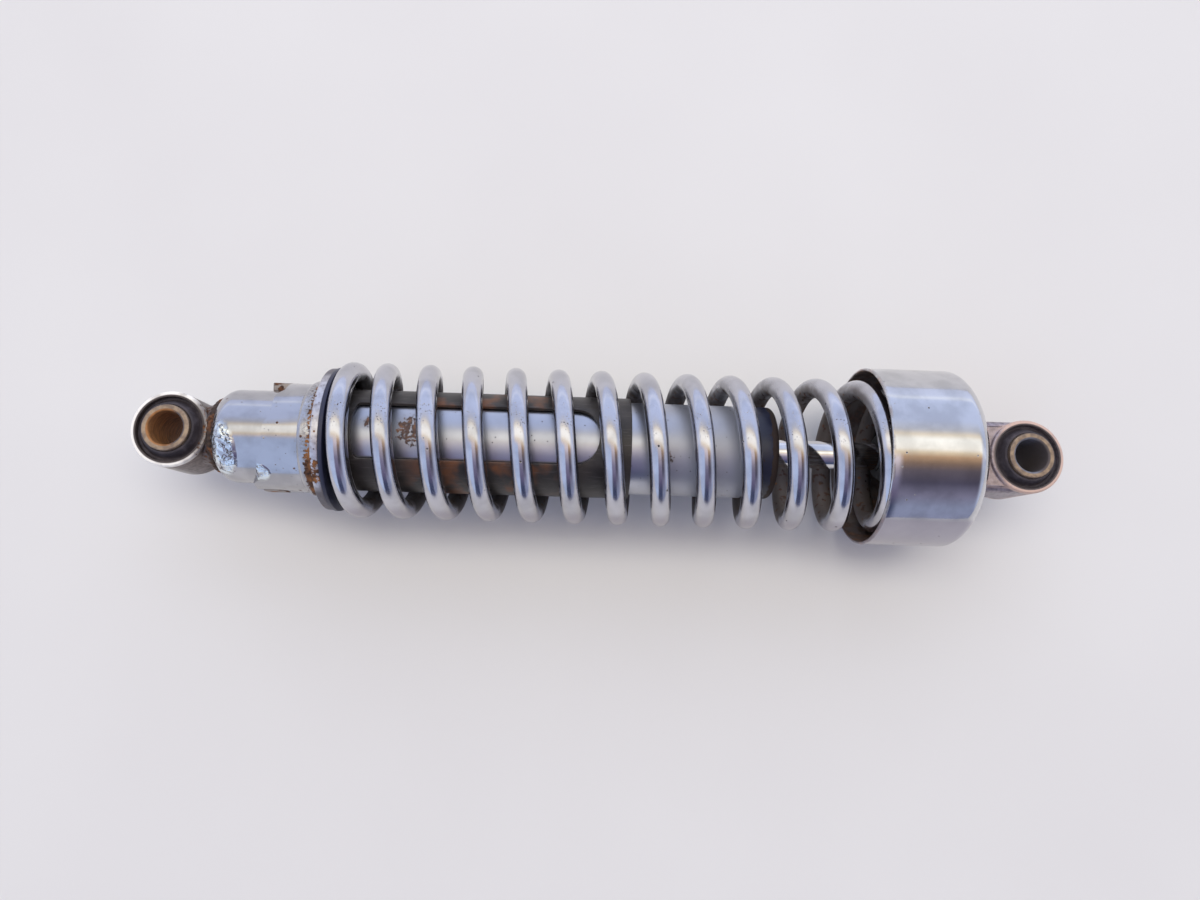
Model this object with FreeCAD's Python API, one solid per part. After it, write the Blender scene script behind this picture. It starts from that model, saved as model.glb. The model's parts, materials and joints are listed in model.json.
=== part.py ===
"""Twin-tube motorcycle rear shock absorber with a coil spring and a stepped preload cam.

Millimetres. The damper axis is X: the lower eye's centre is the origin and the upper eye is at +X.
Both eyes' bores run along Z. Each sub-part is written to parts/NODE.step.
"""
import FreeCAD, Part
import math
import os
from FreeCAD import Vector

# ---- Overall ------------------------------------------------------------------------------------
EYE_TO_EYE = 330.0          # free length between the bore centres
TRAVEL = 54.0               # stroke of the rod
RUN_CLEAR = 0.05            # radial clearance of a running or sliding fit
BODY_GAP = 0.3              # free space between bodies that move past each other
SEAT_GAP = 0.05             # a valve plate rests this far off its seat

# ---- Eyes ---------------------------------------------------------------------------------------
BOLT_R = 6.4                # sleeve bore, for a half-inch bolt
SLEEVE_R = 8.8
SLEEVE_HALF = 15.5
EYE_R = 14.5
EYE_WALL = 2.0
EYE_HALF = 12.4
EYE_CHAMFER = 0.5
RUBBER_RECESS = 1.6         # the rubber's rim below the ring's face
RUBBER_CREST = 1.4          # the rubber's collar below the sleeve's face
NECK_ROOT_R = 10.5
NECK_FOOT_R = 13.2
WELD_R = 1.7
WELD_GAP = 0.2

# ---- Damper tube --------------------------------------------------------------------------------
TUBE_R = 18.3
TUBE_WALL = 2.0
TUBE_LENGTH = 214.9
DOME_AXIAL = 8.1            # the closed end's elliptical shoulder
DOME_FLAT_R = 8.2
LIP_THICK = 1.8             # the open end, rolled in over the seals
LIP_WIDTH = 3.8
CAP_WALL = 1.1
CAP_LENGTH = 12.0
CAP_CLEAR = 1.4             # round the rod
CAP_ROUND = 2.0

# ---- Preload cam --------------------------------------------------------------------------------
CAM_REACH = 42.3            # the tube's domed end to the cam's seat face
CAM_WALL = 2.75
CAM_RIM_HEIGHT = 1.1        # the rim above the sleeve
CAM_RIM = 5.5
LUG_TO_SEAT = 14.3          # the lug's nose to the cam's seat face, in the softest step
LUG_LENGTH = 9.0
LUG_HEIGHT = 3.2
LUG_HALF_DEG = 9.0
NOSE_HALF_DEG = 3.5
CAM_STEPS = 4               # steps up from the softest
STEP_LIFT = 2.2
STEP_DEG = 36.0
STEP_RELIEF = 1.3           # the middle notches are this much deeper than the lug's path
TAB_HEIGHT = 2.2            # the end stop stands this far past the last step
TAB_DEG = 12.0

# ---- Spring, its seat and its guide -------------------------------------------------------------
WIRE_R = 3.9
SPRING_CLEAR = 2.85         # between the guide and the spring
SPRING_TURNS = 13.7         # turns that climb
PITCH_GROWTH = 0.06         # the last pitch over the first, less one
DEAD_TURNS = 0.42           # flat part of a turn at each end
EASE_TURNS = 0.3            # the wire bends from flat to its pitch over this part of a turn
WASHER_THICK = 3.2
WASHER_INSET = 2.8          # the washer's edge inside the spring's outline
FLANGE_THICK = 1.5
FLANGE_INSET = 2.4
GUIDE_WALL = 1.3
GUIDE_LENGTH = 114.0        # from the washer to the free end
WINDOW_START = 9.0          # from the washer
WINDOW_LENGTH = 93.0
WINDOW_HALF_DEG = 33.0
WINDOW_LEAN_DEG = 3.5
WINDOW_NOSE = 0.8           # the rounded end's length over the window's half width

# ---- Rod and upper mount ------------------------------------------------------------------------
ROD_R = 5.6
THREAD_R = 5.0
THREAD_LENGTH = 12.0        # engaged in the upper eye
COVER_CLEAR = 3.5           # between the spring and the cover's wall
COVER_WALL = 1.2
COVER_LENGTH = 42.1
COVER_DROP = 20.4           # the upper eye's centre to the cover's end
COVER_AXIAL = 10.5
COVER_FLAT_R = 9.8
SHANK_WALL = 4.0
SHANK_LENGTH = 8.0
NECK_INSET_Y = 0.3          # the neck's side inside the ring's
NECK_INSET_Z = 1.4
SEAT_DEPTH = 6.4            # the cover's end to the spring's upper seat face
SEAT_BORE_R = 14.5
SEAT_LAND = 0.6             # the seat face reaches past the wire on both sides
LOCK_NUT_FLATS = 16.0
LOCK_NUT_THICK = 5.6
STOP_WASHER_WALL = 6.4
STOP_WASHER_THICK = 1.5
BUMP_WALL = 5.85
BUMP_LENGTH = 20.0

# ---- Inside the damper --------------------------------------------------------------------------
CYLINDER_R = 12.5           # bore of the inner cylinder
CYLINDER_WALL = 1.2
WIPER_THICK = 3.6
SEAL_THICK = 6.6
SEAL_WASHER_THICK = 1.5
GUIDE_BODY_THICK = 7.0
GUIDE_SPIGOT = 6.0          # how far the rod guide enters the inner cylinder
BUSH_WALL = 1.2
GARTER_R = 0.5
SEAL_LIP = 2.0              # thickness of the seal's lip
FOOT_THICK = 6.0
FOOT_SPIGOT = 5.0
FOOT_RECESS = 3.0
FOOT_PORT_R = 1.6
PIN_R = 2.0
PIN_HEAD_R = 4.6
PIN_HEAD_THICK = 1.5
PLATE_THICK = 0.8
FOOT_PLATE_CLEAR = 3.0      # between the plate and the cylinder
FOOT_SPRING_LENGTH = 4.4
CHECK_SPRING_LENGTH = 1.6
CONE_THICK = 0.3
SHIM_THICK = 0.4
SPIGOT_R = 4.0              # the rod's lower end, inside the piston
PISTON_LENGTH = 11.0
PISTON_CLEAR = 0.3
PISTON_PORT_R = 1.5
RING_WIDTH = 5.5
CHECK_PLATE_CLEAR = 2.1
REBOUND_SPRING_LENGTH = 7.0
VALVE_WIRE_R = 0.6
PISTON_NUT_FLATS = 12.0
PISTON_NUT_THICK = 5.0
BUMPER_LENGTH = 6.0
BUMPER_WALL = 3.9
COLLAR_LENGTH = 3.0
PISTON_BELOW_COLLAR = 14.0

# ---- Derived places along X ---------------------------------------------------------------------
DOME_X = EYE_R + WELD_GAP
TUBE_END_X = DOME_X + TUBE_LENGTH
CAP_END_X = TUBE_END_X + CAP_WALL + BODY_GAP
TUBE_BORE_R = TUBE_R - TUBE_WALL
DOME_RADIAL = TUBE_R - DOME_FLAT_R
LIP_BORE_R = TUBE_BORE_R - LIP_WIDTH
CAP_BORE_R = ROD_R + CAP_CLEAR
CAM_SEAT_X = DOME_X + CAM_REACH
CAM_BORE_R = TUBE_R + BODY_GAP + RUN_CLEAR
CAM_R = CAM_BORE_R + CAM_WALL
CAM_RIM_R = CAM_R + CAM_RIM_HEIGHT
LUG_NOSE_X = CAM_SEAT_X - LUG_TO_SEAT
CAM_LIFT = CAM_STEPS * STEP_LIFT
WASHER_X = CAM_SEAT_X + BODY_GAP
FLANGE_X = WASHER_X + WASHER_THICK
SPRING_FOOT_X = FLANGE_X + FLANGE_THICK
SPRING_R = CAM_BORE_R + GUIDE_WALL + SPRING_CLEAR + 2 * WIRE_R
WASHER_R = SPRING_R - WASHER_INSET
FLANGE_R = SPRING_R - FLANGE_INSET
COVER_R = SPRING_R + COVER_CLEAR + COVER_WALL
COVER_RADIAL = COVER_R - COVER_FLAT_R
NECK_HALF_Y = EYE_R - NECK_INSET_Y
NECK_HALF_Z = EYE_HALF - NECK_INSET_Z
SHANK_R = THREAD_R + SHANK_WALL
BUMP_R = ROD_R + BUMP_WALL
STOP_WASHER_R = ROD_R + STOP_WASHER_WALL
COVER_END_X = EYE_TO_EYE - COVER_DROP
COVER_RIM_X = COVER_END_X - COVER_LENGTH
SPRING_TOP_X = COVER_END_X - SEAT_DEPTH
SHANK_X = COVER_END_X - SHANK_LENGTH
NUT_X = SHANK_X - LOCK_NUT_THICK
BUMP_TOP_X = NUT_X - STOP_WASHER_THICK
BUMP_X = BUMP_TOP_X - BUMP_LENGTH
WIPER_X = TUBE_END_X - LIP_THICK - WIPER_THICK
SEAL_X = WIPER_X - SEAL_THICK
SEAL_WASHER_X = SEAL_X - SEAL_WASHER_THICK
GUIDE_BODY_X = SEAL_WASHER_X - GUIDE_BODY_THICK
GUIDE_SPIGOT_X = GUIDE_BODY_X - GUIDE_SPIGOT
FOOT_PLATE_R = CYLINDER_R - FOOT_PLATE_CLEAR
CHECK_PLATE_R = CYLINDER_R - CHECK_PLATE_CLEAR
PORT_CIRCLE_R = (SPIGOT_R + CHECK_PLATE_R) / 2
BUMPER_R = ROD_R + BUMPER_WALL
BUMPER_X = GUIDE_SPIGOT_X - BODY_GAP - BUMPER_LENGTH
COLLAR_X = BUMPER_X - COLLAR_LENGTH
SHOULDER_X = COLLAR_X - PISTON_BELOW_COLLAR
CHECK_STOP_X = SHOULDER_X - SHIM_THICK * 3
CHECK_PLATE_X = CHECK_STOP_X - CHECK_SPRING_LENGTH - PLATE_THICK
PISTON_X = CHECK_PLATE_X - SEAT_GAP - PISTON_LENGTH
REBOUND_SHIM_X = PISTON_X - SHIM_THICK * 3
PISTON_NUT_X = REBOUND_SHIM_X - REBOUND_SPRING_LENGTH - PISTON_NUT_THICK
FOOT_X = DOME_X + TUBE_WALL + DOME_AXIAL * 0.35
FOOT_FACE_X = FOOT_X + FOOT_THICK
FOOT_TOP_X = FOOT_FACE_X + FOOT_SPIGOT
FOOT_PLATE_X = FOOT_TOP_X + SEAT_GAP
PIN_HEAD_X = FOOT_PLATE_X + PLATE_THICK + FOOT_SPRING_LENGTH

ALONG = Vector(1, 0, 0)
BORE = Vector(0, 0, 1)


def disc(x, length, radius, y=0.0, z=0.0):
    """Solid cylinder along the damper axis."""
    return Part.makeCylinder(radius, length, Vector(x, y, z), ALONG)


def ring(x, length, bore_r, radius):
    """Plain ring along the damper axis."""
    return disc(x, length, radius).cut(disc(x - 1, length + 2, bore_r))


def lathe(points, start=Vector(0, 0, 0), axis=ALONG, radial=Vector(0, 1, 0)):
    """Turn a closed outline of (place along the axis, radius) pairs about the axis."""
    corners = [start + axis * along + radial * r for along, r in points]
    face = Part.Face(Part.makePolygon(corners + corners[:1]))
    return face.revolve(start, axis, 360)


def cup(open_x, end_x, outer_r, axial, radial, wall, hole_r):
    """Drawn cup: straight skirt, elliptical shoulder, and a flat end with a hole (0 for none)."""
    side = 1 if end_x > open_x else -1

    def outline(inset):
        centre = Vector(end_x - side * axial, outer_r - radial, 0)
        crown = centre + Vector(0, radial - inset, 0)
        nose = centre + Vector(side * (axial - inset), 0, 0)
        shoulder = Part.ArcOfEllipse(Part.Ellipse(crown, nose, centre), 0, math.pi / 2)
        return Vector(open_x, outer_r - inset, 0), crown, shoulder.toShape(), nose, Vector(nose.x, hole_r, 0)

    mouth, crown, shoulder, nose, hole = outline(0)
    mouth_in, crown_in, shoulder_in, nose_in, hole_in = outline(wall)
    edges = [Part.makeLine(mouth, crown), shoulder, Part.makeLine(nose, hole)]
    edges += [Part.makeLine(hole, hole_in), Part.makeLine(hole_in, nose_in), shoulder_in]
    edges += [Part.makeLine(crown_in, mouth_in), Part.makeLine(mouth_in, mouth)]
    face = Part.Face(Part.Wire(Part.__sortEdges__(edges)))
    return face.revolve(Vector(0, 0, 0), ALONG, 360)


def hexagon(x, length, flats, bore_r):
    """Hexagon nut with its corners chamfered by a cone at both faces."""
    corner = flats / math.sqrt(3)
    points = [Vector(x, corner * math.cos(math.radians(60 * i)), corner * math.sin(math.radians(60 * i)))
              for i in range(6)]
    body = Part.Face(Part.makePolygon(points + points[:1])).extrude(ALONG * length)
    bevel = corner - flats / 2
    drop = bevel * 0.5
    turned = lathe([(x, 0), (x, corner - bevel), (x + drop, corner), (x + length - drop, corner),
                    (x + length, corner - bevel), (x + length, 0)])
    return body.common(turned).cut(disc(x - 1, length + 2, bore_r))


def around(shape, count, first_deg=0.0):
    """Copies of a shape spaced evenly about the damper axis."""
    copies = []
    for i in range(count):
        copy = shape.copy()
        copy.rotate(Vector(0, 0, 0), ALONG, first_deg + 360.0 * i / count)
        copies.append(copy)
    return copies


def wire_coil(path, wire_r):
    """Round wire swept along an X-axis coil given by its centre-line points."""
    curve = Part.BSplineCurve()
    curve.interpolate(path)
    spine = Part.Wire(curve.toShape())
    start_dir = curve.tangent(curve.FirstParameter)[0]
    section = Part.Wire(Part.makeCircle(wire_r, path[0], start_dir))
    sweep = Part.BRepOffsetAPI.MakePipeShell(spine)
    sweep.setFrenetMode(True)
    sweep.add(section)
    sweep.build()
    sweep.makeSolid()
    return sweep.shape()


def climbed(turn, ease):
    """Turns of climb gained by a coil that bends from flat to its pitch about turn 0."""
    bent = min(max(turn + ease / 2, 0.0), ease)
    return bent * bent / (2 * ease) + max(turn - ease / 2, 0.0)


def coil_path(foot_x, top_x, foot_r, top_r, turns, dead, ease, growth, per_turn):
    """Centre line of a right-hand coil: flat ends, eased into a pitch that grows along the coil."""
    span = turns + 2 * dead
    steps = round(span * per_turn)
    points = []
    for i in range(steps + 1):
        turn = span * i / steps - dead
        even = (climbed(turn, ease) - climbed(turn - turns, ease)) / turns
        share = even * (1 + growth * (even - 1) / 2)
        angle = 2 * math.pi * turn
        r = foot_r + (top_r - foot_r) * share
        points.append(Vector(foot_x + (top_x - foot_x) * share, -r * math.sin(angle), r * math.cos(angle)))
    return points


# ---- Eyes ---------------------------------------------------------------------------------------
def eye_ring(x):
    """The eye's outer ring, chamfered, with its bore for the rubber."""
    inner = EYE_R - EYE_WALL
    return lathe([(-EYE_HALF, inner), (-EYE_HALF, EYE_R - EYE_CHAMFER), (-EYE_HALF + EYE_CHAMFER, EYE_R),
                  (EYE_HALF - EYE_CHAMFER, EYE_R), (EYE_HALF, EYE_R - EYE_CHAMFER), (EYE_HALF, inner)],
                 Vector(x, 0, 0), BORE, ALONG)


def eye_hole(x):
    """What the ring's bore leaves free."""
    return Part.makeCylinder(EYE_R - EYE_WALL, 4 * EYE_HALF, Vector(x, 0, -2 * EYE_HALF), BORE)


def bushing_rubber(x):
    """Bonded rubber: dished next to the ring, with a raised collar round the sleeve."""
    outer = EYE_R - EYE_WALL
    inner = SLEEVE_R + RUN_CLEAR
    rim = EYE_HALF - RUBBER_RECESS
    crest = SLEEVE_HALF - RUBBER_CREST
    width = outer - inner
    half = [(rim, outer), (rim - 0.6, outer - 0.2 * width), (rim, outer - 0.4 * width),
            (crest - 0.4, inner + 0.25 * width), (crest, inner + 0.12 * width), (crest, inner)]
    outline = half + [(-along, r) for along, r in reversed(half)]
    return lathe(outline, Vector(x, 0, 0), BORE, ALONG)


def bushing_sleeve(x):
    """Steel sleeve that the mounting bolt clamps, proud of the ring at both ends."""
    outline = [(-SLEEVE_HALF, BOLT_R), (-SLEEVE_HALF, SLEEVE_R - EYE_CHAMFER),
               (-SLEEVE_HALF + EYE_CHAMFER, SLEEVE_R), (SLEEVE_HALF - EYE_CHAMFER, SLEEVE_R),
               (SLEEVE_HALF, SLEEVE_R - EYE_CHAMFER), (SLEEVE_HALF, BOLT_R)]
    return lathe(outline, Vector(x, 0, 0), BORE, ALONG)


def lower_eye():
    """Ring with a flared neck that meets the tube's dome."""
    neck_x = EYE_R * 0.35
    foot_x = DOME_X + DOME_AXIAL * 0.4
    neck = Part.makeCone(NECK_ROOT_R, NECK_FOOT_R, foot_x - neck_x, Vector(neck_x, 0, 0), ALONG)
    slab = Part.makeBox(foot_x, 2 * TUBE_R, 2 * EYE_HALF - 2 * EYE_CHAMFER,
                        Vector(0, -TUBE_R, -EYE_HALF + EYE_CHAMFER))
    neck = neck.common(slab)
    return eye_ring(0).fuse(neck.cut(eye_hole(0))).cut(tube_envelope()).removeSplitter()


def eye_weld():
    """Weld bead round the foot of the lower eye's neck."""
    bead_x = DOME_X + DOME_AXIAL * 0.15
    bead = Part.makeTorus(NECK_FOOT_R, WELD_R, Vector(bead_x, 0, 0), ALONG)
    return bead.cut(tube_envelope()).cut(lower_eye())


def upper_eye():
    """Ring with a flat neck that bears on the cover, and a threaded shank through it."""
    neck = Part.makeBox(COVER_DROP, 2 * NECK_HALF_Y, 2 * NECK_HALF_Z,
                        Vector(COVER_END_X, -NECK_HALF_Y, -NECK_HALF_Z))
    long_edges = [e for e in neck.Edges if abs(e.tangentAt(e.FirstParameter).x) > 0.9]
    neck = neck.makeFillet(NECK_HALF_Z * 0.25, long_edges)
    shank = disc(SHANK_X, SHANK_LENGTH + 1, SHANK_R)
    body = eye_ring(EYE_TO_EYE).fuse(neck.cut(eye_hole(EYE_TO_EYE))).fuse(shank)
    return body.cut(disc(SHANK_X - 1, THREAD_LENGTH + 1, THREAD_R)).removeSplitter()


# ---- Damper tube --------------------------------------------------------------------------------
def tube_envelope():
    """Outer form of the tube, filled."""
    return cup(TUBE_END_X, DOME_X, TUBE_R, DOME_AXIAL, DOME_RADIAL, TUBE_WALL, 0).fuse(
        disc(DOME_X + TUBE_WALL / 2, TUBE_LENGTH - TUBE_WALL / 2, TUBE_BORE_R + TUBE_WALL / 2)
        .common(tube_cavity()))


def tube_cavity():
    """Space inside the tube."""
    inner_r = TUBE_BORE_R
    end_x = DOME_X + TUBE_WALL
    centre = Vector(DOME_X + DOME_AXIAL, TUBE_R - DOME_RADIAL, 0)
    crown = Vector(centre.x, inner_r, 0)
    nose = Vector(end_x, centre.y, 0)
    shoulder = Part.ArcOfEllipse(Part.Ellipse(crown, nose, centre), 0, math.pi / 2).toShape()
    mouth = Vector(TUBE_END_X, inner_r, 0)
    edges = [Part.makeLine(Vector(end_x, 0, 0), nose), shoulder, Part.makeLine(crown, mouth),
             Part.makeLine(mouth, Vector(TUBE_END_X, 0, 0)),
             Part.makeLine(Vector(TUBE_END_X, 0, 0), Vector(end_x, 0, 0))]
    return Part.Face(Part.Wire(Part.__sortEdges__(edges))).revolve(Vector(0, 0, 0), ALONG, 360)


def damper_tube():
    """Outer tube: domed end, turned down under the end cap and rolled in over the seals."""
    tube = cup(TUBE_END_X, DOME_X, TUBE_R, DOME_AXIAL, DOME_RADIAL, TUBE_WALL, 0)
    lip = ring(TUBE_END_X - LIP_THICK, LIP_THICK, LIP_BORE_R, TUBE_BORE_R + TUBE_WALL / 2)
    cap_x = CAP_END_X - CAP_LENGTH
    step = ring(cap_x, CAP_LENGTH, TUBE_R - CAP_WALL, TUBE_R + 1)
    return tube.fuse(lip).cut(step).removeSplitter()


def tube_end_cap():
    """Pressed cap over the open end, with a hole that the rod passes through."""
    cap = disc(CAP_END_X - CAP_LENGTH, CAP_LENGTH, TUBE_R)
    rim = [e for e in cap.Edges if abs(e.BoundBox.XMin - CAP_END_X) < 1e-6 and e.BoundBox.XLength < 1e-6]
    cap = cap.makeFillet(CAP_ROUND, rim)
    inside = disc(CAP_END_X - CAP_LENGTH - 1, CAP_LENGTH + 1 - CAP_WALL, TUBE_R - CAP_WALL)
    return cap.cut(inside).cut(disc(CAP_END_X - CAP_LENGTH, CAP_LENGTH + 1, CAP_BORE_R))


# ---- Preload cam --------------------------------------------------------------------------------
def at_angle(x, radius, degrees):
    """Point at a radius, with its angle from +Z towards +Y."""
    a = math.radians(degrees)
    return Vector(x, radius * math.sin(a), radius * math.cos(a))


def sector_cut(outline, low_x, inner_r, outer_r):
    """Solid from low_x up to an outline of (degrees, x) points, between two radii."""
    sections = []
    for degrees, x in outline:
        corners = [at_angle(low_x, inner_r, degrees), at_angle(low_x, outer_r, degrees),
                   at_angle(x, outer_r, degrees), at_angle(x, inner_r, degrees)]
        sections.append(Part.makePolygon(corners + corners[:1]))
    return Part.makeLoft(sections, True, True)


def cam_lugs():
    """Two lugs on the tube that carry the cam, with tapered noses."""
    drop = math.radians(LUG_HALF_DEG - NOSE_HALF_DEG) * (TUBE_R + LUG_HEIGHT / 2)
    outline = [(-LUG_HALF_DEG, LUG_NOSE_X - drop), (-NOSE_HALF_DEG, LUG_NOSE_X),
               (NOSE_HALF_DEG, LUG_NOSE_X), (LUG_HALF_DEG, LUG_NOSE_X - drop)]
    lug = sector_cut([(90 + d, x) for d, x in outline], LUG_NOSE_X - LUG_LENGTH, TUBE_R - 1,
                     (TUBE_R + LUG_HEIGHT) / math.cos(math.radians(NOSE_HALF_DEG)))
    lug = lug.cut(disc(DOME_X, TUBE_LENGTH, TUBE_R))
    return Part.makeCompound(around(lug, 2))


def ramp_outline():
    """The cam's stepped edge for one lug: (degrees in the cam, x), from the softest step up."""
    per_degree = STEP_LIFT / STEP_DEG
    slack = BODY_GAP + per_degree * NOSE_HALF_DEG
    floor_half = NOSE_HALF_DEG + 1.5
    points = [(90 + LUG_HALF_DEG + 2, LUG_NOSE_X + BODY_GAP - 2.5), (90 + floor_half, LUG_NOSE_X + slack)]
    for step in range(CAM_STEPS + 1):
        centre = 90 - STEP_DEG * step
        level = LUG_NOSE_X - STEP_LIFT * step + slack
        relief = STEP_RELIEF if 0 < step < CAM_STEPS else 0.0
        points += [(centre + floor_half - 0.1, level + relief), (centre - floor_half, level + relief)]
        if step < CAM_STEPS:
            crest = level - STEP_LIFT / 2
            points += [(centre - STEP_DEG * 0.36, crest + STEP_LIFT * 0.14), (centre - STEP_DEG * 0.58, crest)]
    last = 90 - STEP_DEG * CAM_STEPS
    stop_x = LUG_NOSE_X - CAM_LIFT - TAB_HEIGHT
    points.append((last - LUG_HALF_DEG - 3, stop_x))
    return points, stop_x


def adjusting_cam():
    """Chromed cam sleeve: a stepped edge for each lug, end stops between, and a rim at the seat."""
    outline, stop_x = ramp_outline()
    body = lathe([(stop_x, CAM_BORE_R), (stop_x, CAM_R - 0.4), (stop_x + 0.4, CAM_R),
                  (CAM_SEAT_X - CAM_RIM - 0.8, CAM_R), (CAM_SEAT_X - CAM_RIM, CAM_RIM_R - 0.4),
                  (CAM_SEAT_X - CAM_RIM + 0.8, CAM_RIM_R), (CAM_SEAT_X - 0.8, CAM_RIM_R),
                  (CAM_SEAT_X, CAM_RIM_R - 0.6), (CAM_SEAT_X, CAM_BORE_R)])
    cut = sector_cut(outline, stop_x - 2, CAM_BORE_R - 1, CAM_R + 2)
    for copy in around(cut, 2):
        body = body.cut(copy)
    return body


# ---- Spring seat --------------------------------------------------------------------------------
def seat_washer():
    """Steel washer between the cam and the guide's flange."""
    return ring(WASHER_X, WASHER_THICK, CAM_BORE_R, WASHER_R)


def spring_guide():
    """Flanged plastic sleeve on the tube, with two long windows."""
    inner = CAM_BORE_R
    outer = inner + GUIDE_WALL
    root = 1.2
    body = lathe([(FLANGE_X, inner), (FLANGE_X, FLANGE_R), (FLANGE_X + FLANGE_THICK, FLANGE_R),
                  (FLANGE_X + FLANGE_THICK, outer + root), (FLANGE_X + FLANGE_THICK + root, outer),
                  (FLANGE_X + GUIDE_LENGTH, outer), (FLANGE_X + GUIDE_LENGTH, inner)])
    start, end = FLANGE_X + WINDOW_START, FLANGE_X + WINDOW_START + WINDOW_LENGTH
    reach = math.radians(WINDOW_HALF_DEG) * outer * WINDOW_NOSE
    half = [(end, 0.0)]
    for i in range(1, 7):
        a = math.pi / 2 * i / 6
        half.append((end - reach * (1 - math.cos(a)), WINDOW_HALF_DEG * math.sin(a)))
    left = [(start + (end - x) * 0.25, d) for x, d in reversed(half)]
    top = half + left
    sections = []
    for radius in (inner - 1, outer + 1):
        loop = [at_angle(x, radius, WINDOW_LEAN_DEG + d) for x, d in top]
        loop += [at_angle(x, radius, WINDOW_LEAN_DEG - d) for x, d in reversed(top[1:-1])]
        sections.append(Part.makePolygon(loop + loop[:1]))
    window = Part.makeLoft(sections, True, True)
    for copy in around(window, 2):
        body = body.cut(copy)
    return body


def coil_spring():
    """Main spring, closed at both ends."""
    path = coil_path(SPRING_FOOT_X + WIRE_R + SEAT_GAP, SPRING_TOP_X - WIRE_R - SEAT_GAP,
                     SPRING_R - WIRE_R, SPRING_R - WIRE_R, SPRING_TURNS, DEAD_TURNS, EASE_TURNS,
                     PITCH_GROWTH, 16)
    return wire_coil(path, WIRE_R)


# ---- Upper mount --------------------------------------------------------------------------------
def cover():
    """Chromed cup over the top of the spring."""
    return cup(COVER_RIM_X, COVER_END_X, COVER_R, COVER_AXIAL, COVER_RADIAL, COVER_WALL, SHANK_R + RUN_CLEAR)


def upper_spring_seat():
    """Seat ring that fills the cover's shoulder and gives the spring a flat face."""
    blank = ring(SPRING_TOP_X, SEAT_DEPTH - COVER_WALL, SEAT_BORE_R, SPRING_R + SEAT_LAND)
    inside = cup(COVER_RIM_X, COVER_END_X, COVER_R, COVER_AXIAL, COVER_RADIAL, COVER_WALL, 0)
    return max(blank.cut(inside).Solids, key=lambda s: s.Volume)


def piston_rod():
    """Hard-chromed rod, turned down at the piston and threaded into the upper eye."""
    tail_x = PISTON_NUT_X - 2
    rod = disc(SHOULDER_X, NUT_X - SHOULDER_X, ROD_R)
    tail = disc(tail_x, SHOULDER_X - tail_x, SPIGOT_R)
    thread = disc(NUT_X, SHANK_X + THREAD_LENGTH - NUT_X, THREAD_R)
    return rod.fuse(tail).fuse(thread).removeSplitter()


def bump_stop():
    """Rubber stop under the upper mount, waisted so that it folds evenly."""
    bore = ROD_R + SEAT_GAP
    waist = BUMP_R * 0.78
    thirds = BUMP_LENGTH / 3
    return lathe([(BUMP_X, bore), (BUMP_X, BUMP_R * 0.72), (BUMP_X + thirds * 0.45, BUMP_R * 0.9),
                  (BUMP_X + thirds, waist), (BUMP_X + thirds * 1.5, BUMP_R), (BUMP_X + thirds * 2, waist * 1.05),
                  (BUMP_X + thirds * 2.5, BUMP_R), (BUMP_TOP_X, BUMP_R), (BUMP_TOP_X, bore)])


# ---- Seals and rod guide ------------------------------------------------------------------------
def rod_guide():
    """Sintered guide that closes the inner cylinder and carries the rod's bush."""
    bore = ROD_R + RUN_CLEAR + BUSH_WALL
    return lathe([(GUIDE_SPIGOT_X, bore), (GUIDE_SPIGOT_X, CYLINDER_R), (GUIDE_BODY_X, CYLINDER_R),
                  (GUIDE_BODY_X, TUBE_BORE_R), (SEAL_WASHER_X, TUBE_BORE_R), (SEAL_WASHER_X, bore)])


def oil_seal():
    """Lip seal: an outer shell, a web and a lip that the garter spring holds to the rod."""
    lip = ROD_R + RUN_CLEAR
    return lathe([(SEAL_X, TUBE_BORE_R), (SEAL_X, TUBE_BORE_R - 3), (SEAL_X + SEAL_THICK * 0.6, TUBE_BORE_R - 3),
                  (SEAL_X + SEAL_THICK * 0.6, lip + SEAL_LIP), (SEAL_X + SEAL_THICK * 0.2, lip + SEAL_LIP + 0.4),
                  (SEAL_X + SEAL_THICK * 0.05, lip + SEAL_LIP - 0.4), (SEAL_X + SEAL_THICK * 0.3, lip),
                  (SEAL_X + SEAL_THICK, lip + 0.6), (SEAL_X + SEAL_THICK, TUBE_BORE_R)])


def dust_wiper():
    """Outer wiper with a lip that reaches towards the open end."""
    lip = ROD_R + RUN_CLEAR
    return lathe([(WIPER_X, TUBE_BORE_R), (WIPER_X, lip + 1.5), (WIPER_X + WIPER_THICK * 0.6, lip),
                  (WIPER_X + WIPER_THICK, lip), (WIPER_X + WIPER_THICK, lip + 1.2),
                  (WIPER_X + WIPER_THICK * 0.7, lip + 2.6), (WIPER_X + WIPER_THICK, TUBE_BORE_R - 1),
                  (WIPER_X + WIPER_THICK, TUBE_BORE_R)])


# ---- Valves -------------------------------------------------------------------------------------
def ports(x, length, count, circle_r, port_r, first_deg=0.0):
    """Ring of axial oil ports."""
    return around(disc(x, length, port_r, circle_r), count, first_deg)


def foot_valve_body():
    """Pressed into the bottom of the inner cylinder, resting on the dome inside the tube."""
    base = disc(FOOT_X, FOOT_THICK, TUBE_BORE_R).common(tube_cavity())
    body = base.fuse(disc(FOOT_FACE_X, FOOT_SPIGOT, CYLINDER_R))
    body = body.cut(disc(FOOT_X - 1, FOOT_RECESS + 1, FOOT_PLATE_R)).cut(disc(FOOT_X - 1, 99, PIN_R))
    slot = Part.makeBox(FOOT_RECESS, 2 * TUBE_R, 5, Vector(FOOT_X - 0.5, -TUBE_R, -2.5))
    for copy in around(slot, 3):
        body = body.cut(copy)
    for port in ports(FOOT_X, 99, 6, PORT_CIRCLE_R * 0.75, FOOT_PORT_R):
        body = body.cut(port)
    return body


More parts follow.
